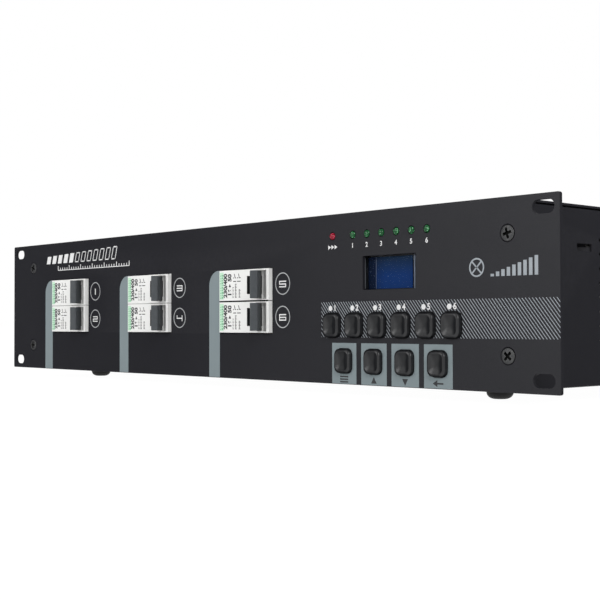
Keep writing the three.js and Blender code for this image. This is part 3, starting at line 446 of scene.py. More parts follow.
# Painted shade: grey and near-black for the gaps between the breakers; the near-black is also used
# in the screws' cross recesses
gapShadeGrey = finish("gapShadeGrey", (0.36, 0.36, 0.35), 0.6, wear=0.0)
shadeBlack = finish("shadeBlack", (0.006, 0.006, 0.006), 0.8, wear=0.0, specular=0.1)
# painted shade: a dark sheet in each lever slot, standing in for the shade there
slotShadeGrey = finish("slotShadeGrey", (0.024, 0.025, 0.027), 0.6, wear=0.0, specular=0.2)
capBlack = finish(
    "capBlack", (0.011, 0.0115, 0.0130), 0.36, other=(0.008, 0.0085, 0.0100),
    worn=(0.03, 0.03, 0.032), grain=(3500, 0.008, 0.3), marks=(350, 0.10), wear=0.3,
)
glossFacing(capBlack, 0.15, 0.40, 0.50, 0.02)
fittingBlack = finish(
    "fittingBlack", (0.020, 0.020, 0.021), 0.42, worn=(0.05, 0.05, 0.05), grain=(2500, 0.012, 0.3)
)
footRubber = finish(
    "footRubber", (0.020, 0.020, 0.020), 0.75, worn=(0.06, 0.06, 0.06), grain=(1800, 0.03, 0.5)
)
screwBlack = finish(
    "screwBlack", (0.030, 0.031, 0.033), 0.5, other=(0.022, 0.023, 0.025), worn=(0.07, 0.07, 0.07),
    metal=0.1, grain=(2500, 0.01, 0.2), wear=0.8,
)
glossFacing(screwBlack, 0.2, 0.5, 0.5, 0.05)
zincSteel = finish(
    "zincSteel", (0.58, 0.59, 0.60), 0.36, other=(0.50, 0.50, 0.48), metal=1.0,
    grain=(900, 0.006, 0.2), drift=(80, 1.0),
)
nickelPins = finish(
    "nickelPins", (0.66, 0.64, 0.60), 0.25, metal=1.0, grain=(1500, 0.003, 0.1), drift=(200, 0.8)
)
aluminium = finish(
    "sinkAluminium", (0.62, 0.63, 0.64), 0.38, metal=1.0, grain=(1200, 0.012, 0.2)
)
transformerCore = finish(
    "transformerCore", (0.09, 0.085, 0.08), 0.5, metal=0.5, grain=(700, 0.04, 0.4)
)
terminalPlastic = finish(
    "terminalPlastic", (0.62, 0.61, 0.56), 0.45, grain=(2500, 0.01, 0.3), wear=0.2
)
circuitBoard = finish(
    "circuitBoard", (0.020, 0.085, 0.040), 0.35, other=(0.030, 0.120, 0.055), drift=(450, 1.0),
    grain=(900, 0.02, 0.6), wear=0.2,
)

# Enamelled copper turns around a core
chokeWinding = finish("chokeWinding", (0.42, 0.17, 0.06), 0.3, metal=0.8, coat=0.3)
tree = chokeWinding.node_tree
turns = put(tree, "TexWave", {"Vector": ownPlace(tree), "Scale": 260.0}, bands_direction="X")
bump = next(each for each in tree.nodes if each.type == "BUMP")
feed(bump, {"Height": turns.outputs["Fac"], "Distance": 0.3 * mm})


def lampFinish(name, colour, paintedGlint):  # clear resin, with small specks painted as glints of light caught inside
    made = finish(name, colour, 0.2, grain=(1500, 0.01, 0.2), wear=0.0, specular=0.3)
    tree = made.node_tree
    glintMask = ranged(tree, cells(tree, 1000.0), 0.12, 0.34, 1.0, 0.0)
    tone = blended(tree, glintMask, toneOf(made), rgba(paintedGlint))
    feed(shaderOf(made), {"Base Color": tone, "Emission Color": tone, "Emission Strength": 0.12})
    return made


lampRed = lampFinish("lampRed", (0.22, 0.002, 0.014), (0.62, 0.07, 0.14))
lampGreen = lampFinish("lampGreen", (0.002, 0.065, 0.016), (0.20, 0.55, 0.27))

# Breakers: places that their finishes, their windows and their pieces share
breakers = {
    "pairs": (-161.5, -66.5, 28.5), "pitch": 95.0, "unitZ": 9.0, "nose": 45.0,
    "window": (45.6, 36.2), "labelFace": -1.5, "edge": 0.18, "hubX": 9.9, "hubY": 3.0,
    # painted shade: where the housing is darkened beside each hub and how much, and how the lever's
    # drum is darkened
    "recessLeft": (2.5, 3.5), "recessRight": (11.6, 12.1),  # from the hub
    "recessDepth": (-5.3, -3.0), "recessPaintedShade": 0.36, "drumShade": (5.0, 10.5),
    "leverEdge": 0.3, "lean": math.radians(30), "tip": 9.0,
    "stretch": 1.4,  # the handle's visible tip reaches this much further
    # painted shade: a dark sheet at the left wall of each lever slot
    "slotShadeX": (3.55, 3.76), "slotShadeY": (-2.3, 2.9), "slotShadeHeight": 10.1,
}


def besideHub(tree):  # how far right of a lever's hub and how far behind it
    axes = ownAxes(tree)
    hub = at(breakers["pairs"][-1] + breakers["hubX"], breakers["hubY"], 0)
    half = breakers["pitch"] * mm / 2
    across = maths(tree, "WRAP", axes["X"], hub.x + half, hub.x - half)
    return maths(tree, "SUBTRACT", across, hub.x), maths(tree, "SUBTRACT", axes["Y"], hub.y)


def reaching(tree, distance, limits, start, end):
    return ranged(tree, distance, limits[0] * mm, limits[1] * mm, start, end)


def dimmed(made, factor):
    feed(shaderOf(made), {"Base Color": scaled(made.node_tree, toneOf(made), factor)})


# Painted shade: the housing's colour is darkened in the recess on the right of the lever
mouldedWhite = finish(
    "mouldedWhite", (0.80, 0.80, 0.785), 0.42, other=(0.76, 0.76, 0.745),
    grain=(4000, 0.006, 0.2), worn=(0.85, 0.85, 0.84), drift=(60, 0.6), wear=0.3, specular=0.4,
)
tree = mouldedWhite.node_tree
aside, behind = besideHub(tree)
left = reaching(tree, aside, breakers["recessLeft"], 0.0, 1.0)
right = reaching(tree, aside, breakers["recessRight"], 1.0, 0.0)
deep = reaching(tree, behind, breakers["recessDepth"], 0.0, breakers["recessPaintedShade"])
paintedShade = maths(tree, "MULTIPLY", maths(tree, "MULTIPLY", left, right), deep)
dimmed(mouldedWhite, maths(tree, "SUBTRACT", 1.0, paintedShade))

# Painted shade: the lever's drum in the slot is darkened, more the nearer it is to the hub
mouldedGrey = finish(
    "mouldedGrey", (0.042, 0.048, 0.053), 0.40, other=(0.033, 0.038, 0.042), specular=0.4,
    worn=(0.10, 0.11, 0.12), grain=(3000, 0.010, 0.3), drift=(300, 0.9), wear=0.8,
)
tree = mouldedGrey.node_tree
aside, behind = besideHub(tree)
reach = put(tree, "CombineXYZ", {0: aside, 1: behind}).outputs[0]
far = put(tree, "VectorMath", {0: reach}, operation="LENGTH").outputs["Value"]
dimmed(mouldedGrey, reaching(tree, far, breakers["drumShade"], 0.15, 1.0))

# Display: a blue field that is darker towards its top and its left side
display = {
    "x": 139.7, "z": 12.75, "size": (36.4, 17.1), "corner": 0.6, "fadeX": (127, 134),
    "fadeZ": (11, 21), "low": (0.0025, 0.018, 0.082), "high": (0.004, 0.012, 0.026),
}
displayBlue = finish(
    "displayBlue", (0.011, 0.030, 0.150), 0.4, grain=(2500, 0.0003, 0.2), wear=0.0, specular=0.05
)
tree = displayBlue.node_tree
axes = ownAxes(tree)
left, right = (at(x, 0, 0).x for x in display["fadeX"])
middle, top = (at(0, 0, z).z for z in display["fadeZ"])
ramp = ranged(tree, axes["Z"], middle, top, 0.0, 1.0)
blue = blended(tree, ramp, rgba(display["low"]), rgba(display["high"]))
tone = scaled(tree, blue, ranged(tree, axes["X"], left, right, 0.62, 1.0))
feed(shaderOf(displayBlue), {"Base Color": tone, "Emission Color": tone, "Emission Strength": 0.55})
windowClear = finish(
    "windowClear", (0.02, 0.03, 0.05), 0.08, marks=(90, 0.06), grain=(800, 0.0002, 0.1), wear=0.0,
    specular=0.05,
)
feed(shaderOf(windowClear), {"Alpha": 0.05})
displayFrame = finish(
    "displayFrame", (0.012, 0.0125, 0.014), 0.3, grain=(2500, 0.004, 0.2), specular=0.4
)
displayEdge = finish(
    "displayEdge", (0.110, 0.135, 0.185), 0.3, other=(0.16, 0.19, 0.24), drift=(300, 1.0), wear=0.0
)
displayLine = finish("displayLine", (0.030, 0.052, 0.110), 0.3, wear=0.0)
displayNavy = finish(
    "displayNavy", (0.003, 0.008, 0.026), 0.4, grain=(2500, 0.0003, 0.2), wear=0.0, specular=0.03
)
displaySeal = finish("displaySeal", (0.085, 0.092, 0.102), 0.5, wear=0.0)
print("finishes made")

# Front panel: plate with rack slots, windows, lamp holes, button holes and screw sinks
plate = {
    "size": (482.6, 88.1), "thickness": 2.0, "corner": 1.0, "edge": 0.2,
    "slotX": 232.55, "slotZ": 38.1, "slotSize": (11.8, 6.2), "slotRadius": 3.09,
    "screwX": 213.0, "screwZ": 27.6, "sink": ((4.15, -1), (4.15, 0.35), (1.8, 1.8), (1.8, 3)),
}
lamps = {"z": 32.6, "signalX": 99.4, "firstX": 114.4, "pitch": 10.1, "hole": 2.1}
keys = {
    "channel": {"x": 99.4, "pitch": 16.2, "z": -13.7, "size": (12.0, 12.8)},
    "menu": {"x": 108.0, "pitch": 21.3, "z": -32.0, "size": (11.8, 12.9)},
    "corner": 3.4,
    "gap": 0.3,
}
through = (-1, 3)


def keyRow(kind, names):
    row = keys[kind]
    return [(name, row["x"] + row["pitch"] * i, kind) for i, name in enumerate(names)]


def keyHole(x, kind, grow=0.0):
    size = [side + 2 * grow for side in keys[kind]["size"]]
    return tile("hole", x, keys[kind]["z"], size, through, keys["corner"] + grow)


lampX = [lamps["signalX"]] + [lamps["firstX"] + lamps["pitch"] * i for i in range(6)]
channelKeys = keyRow("channel", [f"button_channel_{i}" for i in range(1, 7)])
menuKeys = keyRow("menu", ("button_menu", "button_up", "button_down", "button_back"))

panel = tile("front_plate", 0, 0, plate["size"], (0, plate["thickness"]), plate["corner"], 6)
tools = []
for side in (-1, 1):
    for row in (-1, 1):
        x = side * plate["slotX"]
        z = row * plate["slotZ"]
        tools.append(tile("slot", x, z, plate["slotSize"], through, plate["slotRadius"], 12))
        sinkPlace = (side * plate["screwX"], 0, row * plate["screwZ"])
        tools.append(turned("sink", sinkPlace, plate["sink"]))
wide, high = breakers["window"]
tools += [slab("hole", around(x, wide), through, around(0, high)) for x in breakers["pairs"]]
tools.append(
    tile("hole", display["x"], display["z"], display["size"], through, display["corner"], 4)
)
tools += [rod("hole", x, lamps["z"], through, lamps["hole"], 32) for x in lampX]
tools += [keyHole(x, kind) for name, x, kind in channelKeys + menuKeys]
cutBy(panel, *tools)
softened(panel, plate["edge"], clamp=False)
mounted(panel, powderCoat, stands=["front_panel"])
print("front panel made")

# Countersunk screws with a cross recess
screw = {
    "profile": ((1.7, 6), (1.7, 1.75), (3.5, 0.35), (3.65, 0.2), (3.53, 0.02), (3.25, -0.08),
                (2.4, -0.2), (1.3, -0.26), (0.4, -0.28)),
    "sides": 40,
    "cross": (2.4, 0.66), "deep": (-1, 1.0), "edge": 0.05,
    "copies": ((1, -1, 42), (-1, 1, 25), (1, 1, -14)),  # side, row and turn
}


def screwHead(name, x, y, z, kind):
    head = turned(name, (x, y, z), kind["profile"], sides=kind["sides"])
    deep = [y + each for each in kind["deep"]]
    for wide, high in (kind["cross"], kind["cross"][::-1]):
        cutBy(head, slab("cross", (x - wide, x + wide), deep, (z - high, z + high)))
    return softened(head, kind["edge"], 1)


def inRecess(face):  # the walls and the floor of the cross, which are painted near-black as shade
    across = abs(face.center.x) - plate["screwX"] * mm
    up = abs(face.center.z - panelMiddle) - plate["screwZ"] * mm
    front = panelLow.y - 0.04 * mm
    return face.center.y > front and math.hypot(across, up) < screw["cross"][0] * mm


wide = plate["screwX"]
high = plate["screwZ"]
heads = [screwHead("panel_screw_1", -wide, 0, -high, screw)]
for number, (side, row, turn) in enumerate(screw["copies"], start=2):
    twin = again(heads[0], f"panel_screw_{number}", x=(side + 1) * wide, z=(row + 1) * high)
    heads.append(spun(twin, at(side * wide, 0, row * high), math.radians(turn)))
for head in heads:
    mounted(head, screwBlack)
    # the cross recess gets painted shade
    inked(head, shadeBlack, inRecess)
print("screws made")

# Printing on the panel: thin films of ink that stand on the paint
film = (-0.04, 0.02)
printBottom = -plate["size"][1] / 2 + 0.3


def filmAt(face):
    return face + film[0], face + film[1]


def inkBar(x0, x1, z0, z1, face=0.0):
    return slab("bar", (x0, x1), filmAt(face), (z0, z1))


def leaningBar(x0, x1, z0, z1, lean, face=0.0):  # the lower edge is shifted to the right
    bar = inkBar(x0, x1, z0, z1, face)
    middle = at(0, 0, (z0 + z1) / 2).z
    return pulled(bar, lambda point: point.co.z < middle, (lean * mm, 0, 0))


def lettered(text, x, z, height, bold, face=0.0, turn=0.0):
    deselect()
    bpy.ops.object.text_add()
    word = bpy.context.active_object
    word.data.body = text
    word.data.size = height / 0.7 * mm
    word.data.align_x = "CENTER"
    word.data.align_y = "CENTER"
    word.data.offset = bold * height * mm
    word.data.extrude = 0.03 * mm
    bpy.ops.object.convert(target="MESH")
    word = bpy.context.active_object
    word.data.transform(
        Matrix.Translation(at(x, face - 0.01, z))
        @ Matrix.Rotation(math.pi / 2, 4, "X")
        @ Matrix.Rotation(turn, 4, "Z")
    )
    return word


stripe = {"left": -34.0, "right": -24.0, "top": 18.0, "corner": 8.7}
for number, x in enumerate(breakers["pairs"], start=1):
    strip = inkBar(x + stripe["left"], x + stripe["right"], printBottom, stripe["top"])
    corner = at(x + stripe["left"], 0, stripe["top"])
    points = strip.data.vertices

    def isCorner(edge):
        ends = [points[each].co for each in edge.vertices]
        return all(math.hypot(end.x - corner.x, end.z - corner.z) < 0.1 * mm for end in ends)

    rounded(strip, isCorner, stripe["corner"], 14)
    laid(f"breaker_stripe_{number}", printGrey, strip)

# Numbers in rings beside the breakers, drawn with strokes between the corners of a grid
figure = {"width": 5.7, "height": 3.6, "stroke": 0.62, "ringX": 31.5, "ringZ": 9.1, "drop": 0.25,
          "ringRadius": 6.1, "ringLine": 0.55}
strokes = (
    "post",
    "top upperRight middle lowerLeft bottom",
    "top upperRight middle lowerRight bottom",
    "longLeft topRight upperRight middle lowerRight bottomRight",
    "top upperLeft middle lowerRight bottom",
    "top upperLeft middle lowerLeft lowerRight bottom",
)
w = figure["width"] / 2
h = figure["height"] / 2
s = figure["stroke"]
boxes = {  # left, right, low and high of each stroke
    "post": (-s * 0.75, s * 0.75, -h - 0.2, h + 0.2),
    "top": (-w, w, h - s, h),
    "middle": (-w, w, -s / 2, s / 2),
    "bottom": (-w, w, -h, s - h),
    "longLeft": (-w, s - w, s / 2, h),
    "upperLeft": (-w, s - w, s / 2, h - s),
    "upperRight": (w - s, w, s / 2, h - s),
    "lowerLeft": (-w, s - w, s - h, -s / 2),
    "lowerRight": (w - s, w, s - h, -s / 2),
    "topRight": (w - s, w, h - s, h),
    "bottomRight": (w - s, w, -h, s - h),
}


def ringOf(x, z, radius, line, sides):
    ring = rod("ring", x, z, film, radius, sides)
    return cutBy(ring, rod("inner", x, z, through, radius - line, sides))


def unitPlace(number, height):  # the middle of a pair, and the upper or lower height
    return breakers["pairs"][(number - 1) // 2], height if number % 2 else -height


for number, parts in enumerate(strokes, start=1):
    x, z = unitPlace(number, figure["ringZ"])
    x += figure["ringX"]
    ring = ringOf(x, z, figure["ringRadius"], figure["ringLine"], 72)
    laid(f"ring_{number}", printRing, ring)
    z -= figure["drop"]
    bars = []
    for left, right, low, high in (boxes[part] for part in parts.split()):
        bars.append(inkBar(x + left, x + right, z + low, z + high))
    laid(f"ring_figure_{number}", printWhite, *bars)

# Hatched band behind the channel buttons
hatch = {"left": 91.0, "right": 241.25, "top": -1.6, "bottom": -19.9, "pitch": 1.86, "line": 0.42,
         "slope": 50.0, "margin": 0.35}
lean = (hatch["top"] - hatch["bottom"]) / math.tan(math.radians(hatch["slope"]))
start = hatch["left"] - lean
band = leaningBar(start, start + hatch["line"], hatch["bottom"], hatch["top"], lean)
applied(
    band,
    "ARRAY",
    count=math.ceil((hatch["right"] - start) / hatch["pitch"]),
    use_relative_offset=False,
    use_constant_offset=True,
    constant_offset_displace=(hatch["pitch"] * mm, 0, 0),
)
only(band)
mode("EDIT")
for edge, inner in ((hatch["left"], True), (hatch["right"], False)):
    bpy.ops.mesh.select_all(action="SELECT")
    bpy.ops.mesh.bisect(plane_co=at(edge, 0, 0), plane_no=(1, 0, 0), use_fill=True,
                        clear_inner=inner, clear_outer=not inner)
mode("OBJECT")
cutBy(band, *[keyHole(x, kind, hatch["margin"]) for name, x, kind in channelKeys])
laid("hatch_band", printLine, band)

# Digits under the lamps and over the buttons, and arrows under the signal lamp
small = {
    "lamp": (27.0, 2.4, 0.025),  # height on the panel, size and boldness
    "keyX": 1.9,
    "key": (-4.9, 3.0, 0.035, -0.05),
    "dotX": -1.5,
    "dot": (-4.9, (-0.09, 0.02), 1.35, 24),
    "arrowPitch": 2.4,
    "arrow": (26.9, film, 1.35, math.pi / 2),
}
words = [lettered(str(i), lampX[i], *small["lamp"]) for i in range(1, 7)]
for number, (name, x, kind) in enumerate(channelKeys, start=1):
    words.append(lettered(str(number), x + small["keyX"], *small["key"]))
    words.append(rod("dot", x + small["dotX"], *small["dot"]))
for i in (-1, 0, 1):
    words.append(prism("arrow", lampX[0] + small["arrowPitch"] * i, *small["arrow"]))
laid("small_figures", printWhite, *words)

# Plates printed round the menu buttons, with a symbol on each
menu = {
    "plates": ((99.1, 116.9), (120.4, 138.2), (141.5, 159.6), (162.9, 180.8)),
    "top": -22.8, "margin": 0.1, "z": -41.4, "face": -0.03, "bars": (-1.35, 0, 1.35),
    "barHalf": (3.0, 0.38),
    "arrows": ((1, 0, -0.4, 2.2, 0), (2, 0, 0.4, 2.2, math.pi), (3, -1.5, 0, 1.9, -math.pi / 2)),
    "shaft": (-0.8, 3.2, 0.4),
}
pieces = []
for (name, x, kind), (left, right) in zip(menuKeys, menu["plates"]):
    piece = inkBar(left, right, printBottom, menu["top"])
    pieces.append(cutBy(piece, keyHole(x, kind, menu["margin"])))
laid("menu_plates", printGrey, *pieces)
middles = [(left + right) / 2 for left, right in menu["plates"]]
z = menu["z"]
face = menu["face"]
wide, high = menu["barHalf"]
marks = [
    inkBar(middles[0] - wide, middles[0] + wide, z + row - high, z + row + high, face)
    for row in menu["bars"]
]
for column, right, up, radius, turn in menu["arrows"]:
    marks.append(prism("arrow", middles[column] + right, z + up, filmAt(face), radius, turn))
left, right, half = menu["shaft"]
marks.append(inkBar(middles[3] + left, middles[3] + right, z - half, z + half, face))
laid("menu_symbols", printDark, *marks)

# Level ramp on the left: filled bars, then outlines made of four strips, over a scale
level = {"left": -194.0, "base": 29.6, "bar": 5.0, "pitch": 7.55, "count": 12, "filled": 5,
         "low": 5.2, "high": 8.5, "line": 0.7, "side": 0.63, "lean": -2.6}
scale = {"line": (-178.5, -89.4, 24.6, 25.05), "first": -178.2, "last": -89.7, "parts": 30,
         "half": 0.36, "base": 25.0, "short": 26.6, "long": 27.9}


def outlinedBar(left, right, base, high, lean):
    line = level["line"]
    cap = lean * line / high
    side = level["side"]
    return [
        leaningBar(left - lean, left + side - lean, base, base + high, lean),
        leaningBar(right - side - lean, right - lean, base, base + high, lean),
        leaningBar(left - lean, right - lean, base + high - line, base + high, cap),
        leaningBar(left - cap, right - cap, base, base + line, cap),
    ]


filled = []
outlined = []
base = level["base"]
for i in range(level["count"]):
    left = level["left"] + i * level["pitch"]
    right = left + level["bar"]
    high = level["low"] + (level["high"] - level["low"]) * i / (level["count"] - 1)
    lean = level["lean"] * high / level["high"]
    if i < level["filled"]:
        filled.append(leaningBar(left - lean, right - lean, base, base + high, lean))
    else:
        outlined += outlinedBar(left, right, base, high, lean)
laid("level_ramp_filled", printWhite, *filled)
laid("level_ramp_outlined", printWhite, *outlined)
marks = [inkBar(*scale["line"])]
for i in range(scale["parts"] + 1):
    x = scale["first"] + i * (scale["last"] - scale["first"]) / scale["parts"]
    top = scale["short"] if i % 5 else scale["long"]
    marks.append(inkBar(x - scale["half"], x + scale["half"], scale["base"], top))
laid("level_scale", printWhite, *marks)

# Lamp symbol on the right and, beside it, steps that grow to full light
sign = {"z": 12.8, "lampX": 195.4, "radius": 4.4, "line": 0.75, "stepX": 203.5, "stepEnd": 231.0,
        "steps": 9, "low": 1.2, "high": 8.6, "share": 0.62}
x = sign["lampX"]
z = sign["z"]
half = sign["line"] / 2
reach = sign["radius"] - sign["line"]
marks = [ringOf(x, z, sign["radius"], sign["line"], 64)]
for turn in (math.pi / 4, -math.pi / 4):
    bar = inkBar(x - reach, x + reach, z - half, z + half)
    marks.append(spun(bar, at(x, 0, z), turn))
laid("lamp_symbol", printLine, *marks)
pitch = (sign["stepEnd"] - sign["stepX"]) / sign["steps"]
base = z - sign["radius"]
bars = []
for i in range(sign["steps"]):
    high = sign["low"] + (sign["high"] - sign["low"]) * i / (sign["steps"] - 1)
    left = sign["stepX"] + i * pitch
    bars.append(inkBar(left, left + pitch * sign["share"], base, base + high))
laid("dimming_steps", printLine, *bars)
print("printing made")

# Labels of the breakers: a band with ticks, words, lines of marks and switch symbols
label = {
    "height": 15.6,
    "band": (0.4, 3.9),
    "ticks": (1.1, 0.6, 1.3, 0.8, 1.0, 0.5, 1.2, 0.7, 1.1, 0.9),
    "tickStep": 0.5, "tickLift": 0.02,
    "tickX": ((2.2, 3.7, 1), (0.9, 1.7, 0.6)),  # from, to and share of the length
    "words": (("230/400", 5.8, 7.8, 2.95), ("16", 9.7, 3.9, 3.0), ("50", 9.7, 12.3, 3.0)),
    "bold": 0.06,
    "play": (9.7, 7.6, 1.3),
    "lines": ((12.7, 1.0, 10), (15.1, 1.5, 13), (18.5, 1.5, 8)),  # place, mark length, count
    "lineStart": 0.9, "markPitch": 0.62, "mark": 0.4,
    "switches": ((14.1, 1.3), (17.9, 1.6)), "switchZ": 9.9,
}


def switchSymbol(x, size, z, face):
    return [
        inkBar(x - size, x + size, z, z + 0.5, face),
        inkBar(x - size, x - 0.5, z + 2.0, z + 2.5, face),
        inkBar(x + 0.4, x + size, z + 2.0, z + 2.5, face),
        leaningBar(x - 0.6, x - 0.1, z + 2.1, z + 4.6, 0.9, face),
    ]


def labelPrint(left, low, face):
    start, end = label["band"]
    band = inkBar(left + start, left + end, low, low + label["height"], face)
    ticks = []
    z = low + label["tickStep"]
    for length in label["ticks"]:
        for start, end, share in label["tickX"]:
            high = z + length * share
            ticks.append(inkBar(left + start, left + end, z, high, face - label["tickLift"]))
        z += length + label["tickStep"]
    words = [
        lettered(text, left + x, low + z, height, label["bold"], face, math.pi / 2)
        for text, x, z, height in label["words"]
    ]
    x, z, radius = label["play"]
    words.append(prism("play", left + x, low + z, filmAt(face), radius))
    for x, size in label["switches"]:
        words += switchSymbol(left + x, size, low + label["switchZ"], face)
    marks = []
    for column, length, count in label["lines"]:
        for i in range(count):  # marks of changing length, as in lines of small words
            short = 0.25 * (i * 7 % 3)
            start = left + column - length / 2 + short * 0.5
            end = left + column + length / 2 - short
            z = low + label["lineStart"] + i * label["markPitch"]
            marks.append(inkBar(start, end, z, z + label["mark"], face))
    return (
        ("band", merged("band", band), printGreen),
        ("ticks", merged("ticks", *ticks), printLeaf),
        ("words", merged("words", *words), printDark),
        ("marks", merged("marks", *marks), printFaint),
    )


# Breakers: moulded housings, levers, dark sheets painted as shade in the lever slots, and their
# copies of the label
firstLabel = labelPrint(
    breakers["pairs"][0] - breakers["nose"] / 2,
    breakers["unitZ"] - label["height"] / 2,
    breakers["labelFace"],
)
lean = breakers["lean"]
away = Vector((math.sin(lean), -math.cos(lean), 0))
for number in range(1, 7):
    x, z = unitPlace(number, breakers["unitZ"])
    node = f"breaker_body_{number}"
    housing = softened(copied(node, f"breaker_housing_{number}"), breakers["edge"])
    mounted(housing, mouldedWhite, stands=[node])
    node = f"breaker_lever_{number}"
    lever = copied(node, f"lever_shape_{number}")
    tip = at(x + breakers["hubX"], breakers["hubY"], z) + away * breakers["tip"] * mm
    step = away * breakers["stretch"] * mm
    pulled(lever, lambda point: (point.co - tip).dot(away) > 0, step)
    softened(lever, breakers["leverEdge"])
    mounted(lever, mouldedGrey, f"lever_{number}", [node])
    left, right = breakers["slotShadeX"]
    height = around(z, breakers["slotShadeHeight"])
    slotShade = slab("slotShade", (x + left, x + right), breakers["slotShadeY"], height)
    laid(f"breaker_slot_shade_{number}", slotShadeGrey, slotShade)
    for kind, figures, shine in firstLabel:
        twin = again(figures, f"breaker_{kind}_{number}", x=x - breakers["pairs"][0],
                     z=z - breakers["unitZ"])
        mounted(twin, shine)
for kind, first, shine in firstLabel:
    bpy.data.objects.remove(first)

# Painted shade in the gap between an upper and a lower breaker: a grey sheet for the first two
# pairs and a black one for the third
seam = {"inset": 0.2, "step": 2.1, "greyY": (-1.35, 2.0), "greyZ": (-0.19, 0.19),
        "labelY": (-1.56, 0), "noseY": (-2.45, 0), "blackZ": (-0.42, 0.42)}
half = breakers["nose"] / 2 - seam["inset"]
for number, x in enumerate(breakers["pairs"], start=1):
    step = x + seam["step"]
    if number < 3:
        gap = slab("gap", (x - half, x + half), seam["greyY"], seam["greyZ"])
        laid(f"breaker_gap_shade_{number}", gapShadeGrey, gap)
    else:
        gap = slab("gap", (x - half, step), seam["labelY"], seam["blackZ"])
        end = slab("gap", (step, x + half), seam["noseY"], seam["blackZ"])
        laid(f"breaker_gap_shade_{number}", shadeBlack, gap, end)
print("breakers made")

# Buttons with a cushion-shaped cap
cap = {
    "corner": 3.1, "y": (-1.7, 2.4), "flange": 2.4, "flangeY": (2.3, 3.5), "stem": (4, 4),
    "stemCorner": 1, "stemFront": 3.4,
    "crown": ((0.985, 0.16), (0.955, 0.34), (0.92, 0.52), (0.88, 0.66), (0.84, 0.74), (0.80, 0.76),
              (0.76, 0.70), (0.70, 0.57), (0.61, 0.40), (0.49, 0.22), (0.35, 0.07), (0.20, -0.02),
              (0.06, -0.05)),
}
for name, x, kind in channelKeys + menuKeys:
    z = keys[kind]["z"]
    size = [side - 2 * keys["gap"] for side in keys[kind]["size"]]
    top = tile(name, x, z, size, cap["y"], cap["corner"], 10)
    pick(top, "FACE", facesFront)
    share, rise = 1.0, 0.0
    for nextShare, nextRise in cap["crown"]:
        step = (0, (rise - nextRise) * mm, 0)
        bpy.ops.mesh.extrude_region_move(TRANSFORM_OT_translate={"value": step})
        factor = nextShare / share
        centre = at(x, cap["y"][0] - nextRise, z)
        bpy.ops.transform.resize(value=(factor, 1, factor), center_override=centre)
        share, rise = nextShare, nextRise
    mode("OBJECT")
    size = [side + cap["flange"] for side in size]
    flange = tile("flange", x, z, size, cap["flangeY"], cap["corner"])
    low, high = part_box(name)
    deep = (cap["stemFront"], (high.y - panelLow.y) / mm)
    stem = tile("stem", x, z, cap["stem"], deep, cap["stemCorner"])
    merged(name + "_piece", top, flange, stem)
    smooth(top, roundAngle)
    mounted(top, capBlack, name + "_cap", [name])
print("buttons made")

# Indicator lamps: domes on a common block
dome = {
    "y": (8.0, 0.6), "radius": 1.85, "height": 1.5,
    "shape": ((0.97, 0.3), (0.86, 0.62), (0.66, 0.84), (0.38, 0.97), (0.1, 1.0)),
    "blockFront": 6.0,
}


def indicatorLamps(node, places, shine):
    low, high = ((corner - at(0, 0, 0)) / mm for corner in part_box(node))
    block = slab("block", (low.x, high.x), (dome["blockFront"], high.y), (low.z, high.z))
    back, front = dome["y"]
    profile = [(dome["radius"], back), (dome["radius"], front), (dome["radius"], front)]
    for share, rise in dome["shape"]:
        profile.append((dome["radius"] * share, front - dome["height"] * rise))
    domes = [turned("dome", (x, 0, lamps["z"]), profile, sides=32) for x in places]
    piece = merged(node + "_piece", block, *domes)
    smooth(piece, roundAngle)
    mounted(piece, shine, stands=[node])


indicatorLamps("signal_led", lampX[:1], lampRed)
indicatorLamps("channel_leds", lampX[1:], lampGreen)
print("lamps made")

# Case with the tongue bent inwards behind each hook slot and the flange behind it
for node, width in (("top_cover", 0.35), ("chassis_tray", 0.25), ("rear_panel", 0.25)):
    refined(node, powderCoat, width)
hook = {"x": 217.7, "y": (44.6, 57.4), "z": (20.6, 23.4), "thickness": 0.5, "depth": 6.0,
        "bend": 45.6, "flangeX": 206.7, "flangeY": (38.6, 69.4), "flangeZ": (12, 36),
        "flangeThickness": 0.8, "edge": 0.1}
bend = at(0, hook["bend"], 0).y
for side, name in ((-1, "left"), (1, "right")):
    tongue = slab("tongue", around(side * hook["x"], hook["thickness"]), hook["y"], hook["z"])
    pulled(tongue, lambda point: point.co.y < bend, (-side * hook["depth"] * mm, 0, 0))
    across = around(side * hook["flangeX"], hook["flangeThickness"])
    flange = slab("flange", across, hook["flangeY"], hook["flangeZ"])
    piece = merged(f"hook_tongue_{name}", tongue, flange)
    mounted(softened(piece, hook["edge"], 1), powderCoat)

# Feet: the profile runs down the flank, round the edge and to the middle of the sole
foot = {
    "x": {"left": -180.0, "right": 180.0},
    "y": {"front": 36.2, "rear": 267.8},
    "bottom": -49.8,
    "flank": ((8.2, 6.4), (8.2, 6.0), (7.8, 5.3), (7.5, 4.4), (7.4, 3.75), (7.0, 3.45), (6.6, 3.3)),
    "arc": (2.5, 4.1, 3.3, 10),
    "sole": ((1.6, 0.02), (0.3, 0.03)),
}
inner, wide, high, steps = foot["arc"]
turns = [math.pi / 2 * i / steps for i in range(1, steps + 1)]
arc = [(inner + wide * math.cos(turn), high - high * math.sin(turn)) for turn in turns]
profile = [*foot["flank"], *arc, *foot["sole"]]
for end, y in foot["y"].items():
    for side, x in foot["x"].items():
        node = f"foot_{end}_{side}"
        piece = shaded(turned(node + "_piece", (x, y, foot["bottom"]), profile, axis=2))
        mounted(piece, footRubber, stands=[node])

